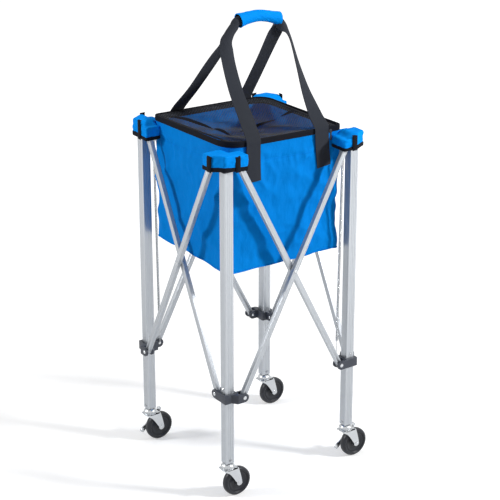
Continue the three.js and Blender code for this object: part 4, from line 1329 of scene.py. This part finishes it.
def wrap_ring(t, around=40):
    """the centre and the ring of points of the wrap at t from 0 to 1 along it"""
    u = 2 * t - 1
    centre = Vector((WRAP_X + WRAP_HALF * u, 0, WRAP_Z + 4 - 4 * t + 9 * (1 - abs(u) ** 1.5) - 7 * t * t))
    radius = WRAP_RADIUS + 2.6 * u ** 4 + (1.2 if t < 0.5 else 0.4) * abs(u)
    ring = []
    for cos, sin in circle(1, around):
        flat = 1 - 0.10 * cos ** 2 * (1 - abs(u))
        r = radius * flat + 0.7 * wavy(centre.x / 13, 3 * cos, 3 * sin)
        lean = 3.0 * sin * (1 if t > 0.5 else -1) * abs(u) ** 3
        ring.append(centre + Vector((lean, r * cos, r * sin)))
    return centre, ring


def handle_wrap(stations=28):
    """A sleeve round both straps: cloth outside, lining inside."""
    rings = [wrap_ring(i / stations) for i in range(stations + 1)]
    outer = [ring for _, ring in rings]
    lining = [[centre + (p - centre) * WRAP_INNER_SHARE for p in ring] for centre, ring in rings]
    skin = loft(outer + lining[::-1], closed=True)
    # the outside is the brighter copy of the wall cloth, with painted light
    wrap = build("handle_wrap_cloth", skin, [CLOTH_WITH_PAINTED_LIGHT, BINDING], smooth=60)
    for polygon in wrap.data.polygons:
        if min(polygon.vertices) >= len(outer) * len(outer[0]):
            polygon.material_index = 1
    return wrap


wrap = handle_wrap()
finish_piece(wrap, "bag_front", "cloth", "handle_wrap")
gather(wrap)


# Zip slider

def zip_slider(x=135.5, z=939.2):
    """A round body on the zip with a pull tab that hangs from it."""
    body = upright(arc_points(x, z, 5.2, 0, 2 * math.pi, 20)[:-1], -180.2, -176.6)
    end = arc_points(x, z - 21, 3.2, math.pi, 2 * math.pi, 8)
    pull = upright([*end, (x + 2.1, z - 1), (x - 2.1, z - 1)], -181.6, -180.0)
    return merge(body, pull)


softened(piece("zip_slider_body", zip_slider(), PAINTED, "zip_slider", "zinc", "zip_slider"))


# Stage, light and camera

FOCAL_PIXELS = 1687.9
FRAME_PIXELS = 500
SENSOR = 36
CAMERA_PLACE = (-2.3632 + MIDDLE_X * MM, -3.4434, 2.2098 + RAISE * MM)
YAW, PITCH = math.radians(-34.640), math.radians(21.228)
SHIFT_X = -0.0033


def turn_to(obj, direction):
    obj.rotation_mode = "QUATERNION"
    obj.rotation_quaternion = direction.to_track_quat("-Z", "Y")


def area_light(name, place, size, power):
    """a square lamp that faces the bag's middle height"""
    data = bpy.data.lights.new(name, "AREA")
    data.size = size
    data.energy = power
    lamp = new_object(name, data)
    lamp.location = place
    turn_to(lamp, Vector((0, 0, 0.6)) - Vector(place))


def seen_rays(tree):
    """1 for what the camera sees, also in a mirror or through glass"""
    rays = add(tree, "ShaderNodeLightPath", {})
    seen = combined(tree, "MAXIMUM", rays["Is Camera Ray"], rays["Is Glossy Ray"])
    return combined(tree, "MAXIMUM", seen, rays["Is Transmission Ray"])


def floor_material():
    """Pale and matt, with a glow for the camera that grows away from the object."""
    look, tree, shader = new_look("floor", (0.8, 0.8, 0.8), 0.95, Specular_IOR_Level=0.0)
    distance = add(tree, "ShaderNodeVectorMath", {0: place_of(tree)}, operation="LENGTH")["Value"]
    level = ramped(tree, distance, 0.36, 0.8, start=0.9, end=2.6)
    strength = combined(tree, "MULTIPLY", level, seen_rays(tree))
    glow = add(tree, "ShaderNodeEmission", {"Color": (1, 1, 1, 1), "Strength": strength})[0]
    both = add(tree, "ShaderNodeAddShader", {0: shader.outputs[0], 1: glow})[0]
    feed(tree.nodes["Material Output"], {"Surface": both})
    return look


def lay_floor(half=30):
    mesh = bpy.data.meshes.new("floor")
    verts = [(-half, -half, 0), (half, -half, 0), (half, half, 0), (-half, half, 0)]
    mesh.from_pydata(verts, [], [(0, 1, 2, 3)])
    mesh.materials.append(floor_material())
    new_object("floor", mesh)


def light_world():
    world = bpy.data.worlds.new("world")
    scene.world = world
    world.use_nodes = True
    tree = world.node_tree
    strength = ramped(tree, seen_rays(tree), 0.26, 1.0)
    feed(tree.nodes["Background"], {"Color": (1, 1, 1, 1), "Strength": strength})


def set_camera():
    data = bpy.data.cameras.new("camera")
    data.sensor_width = SENSOR
    data.lens = FOCAL_PIXELS / FRAME_PIXELS * SENSOR
    data.shift_x = SHIFT_X
    data.clip_start, data.clip_end = 0.1, 100
    camera = new_object("camera", data)
    camera.location = CAMERA_PLACE
    level = math.cos(PITCH)
    turn_to(camera, Vector((-math.sin(YAW) * level, math.cos(YAW) * level, -math.sin(PITCH))))
    scene.camera = camera


area_light("key", (2.2, -2.6, 2.6), size=0.5, power=138)
area_light("side", (-2.9, 1.3, 2.1), size=0.55, power=57)
area_light("top", (0.2, 0.3, 3.4), size=2.0, power=16)
lay_floor()
light_world()
set_camera()
scene.view_settings.view_transform = "Standard"
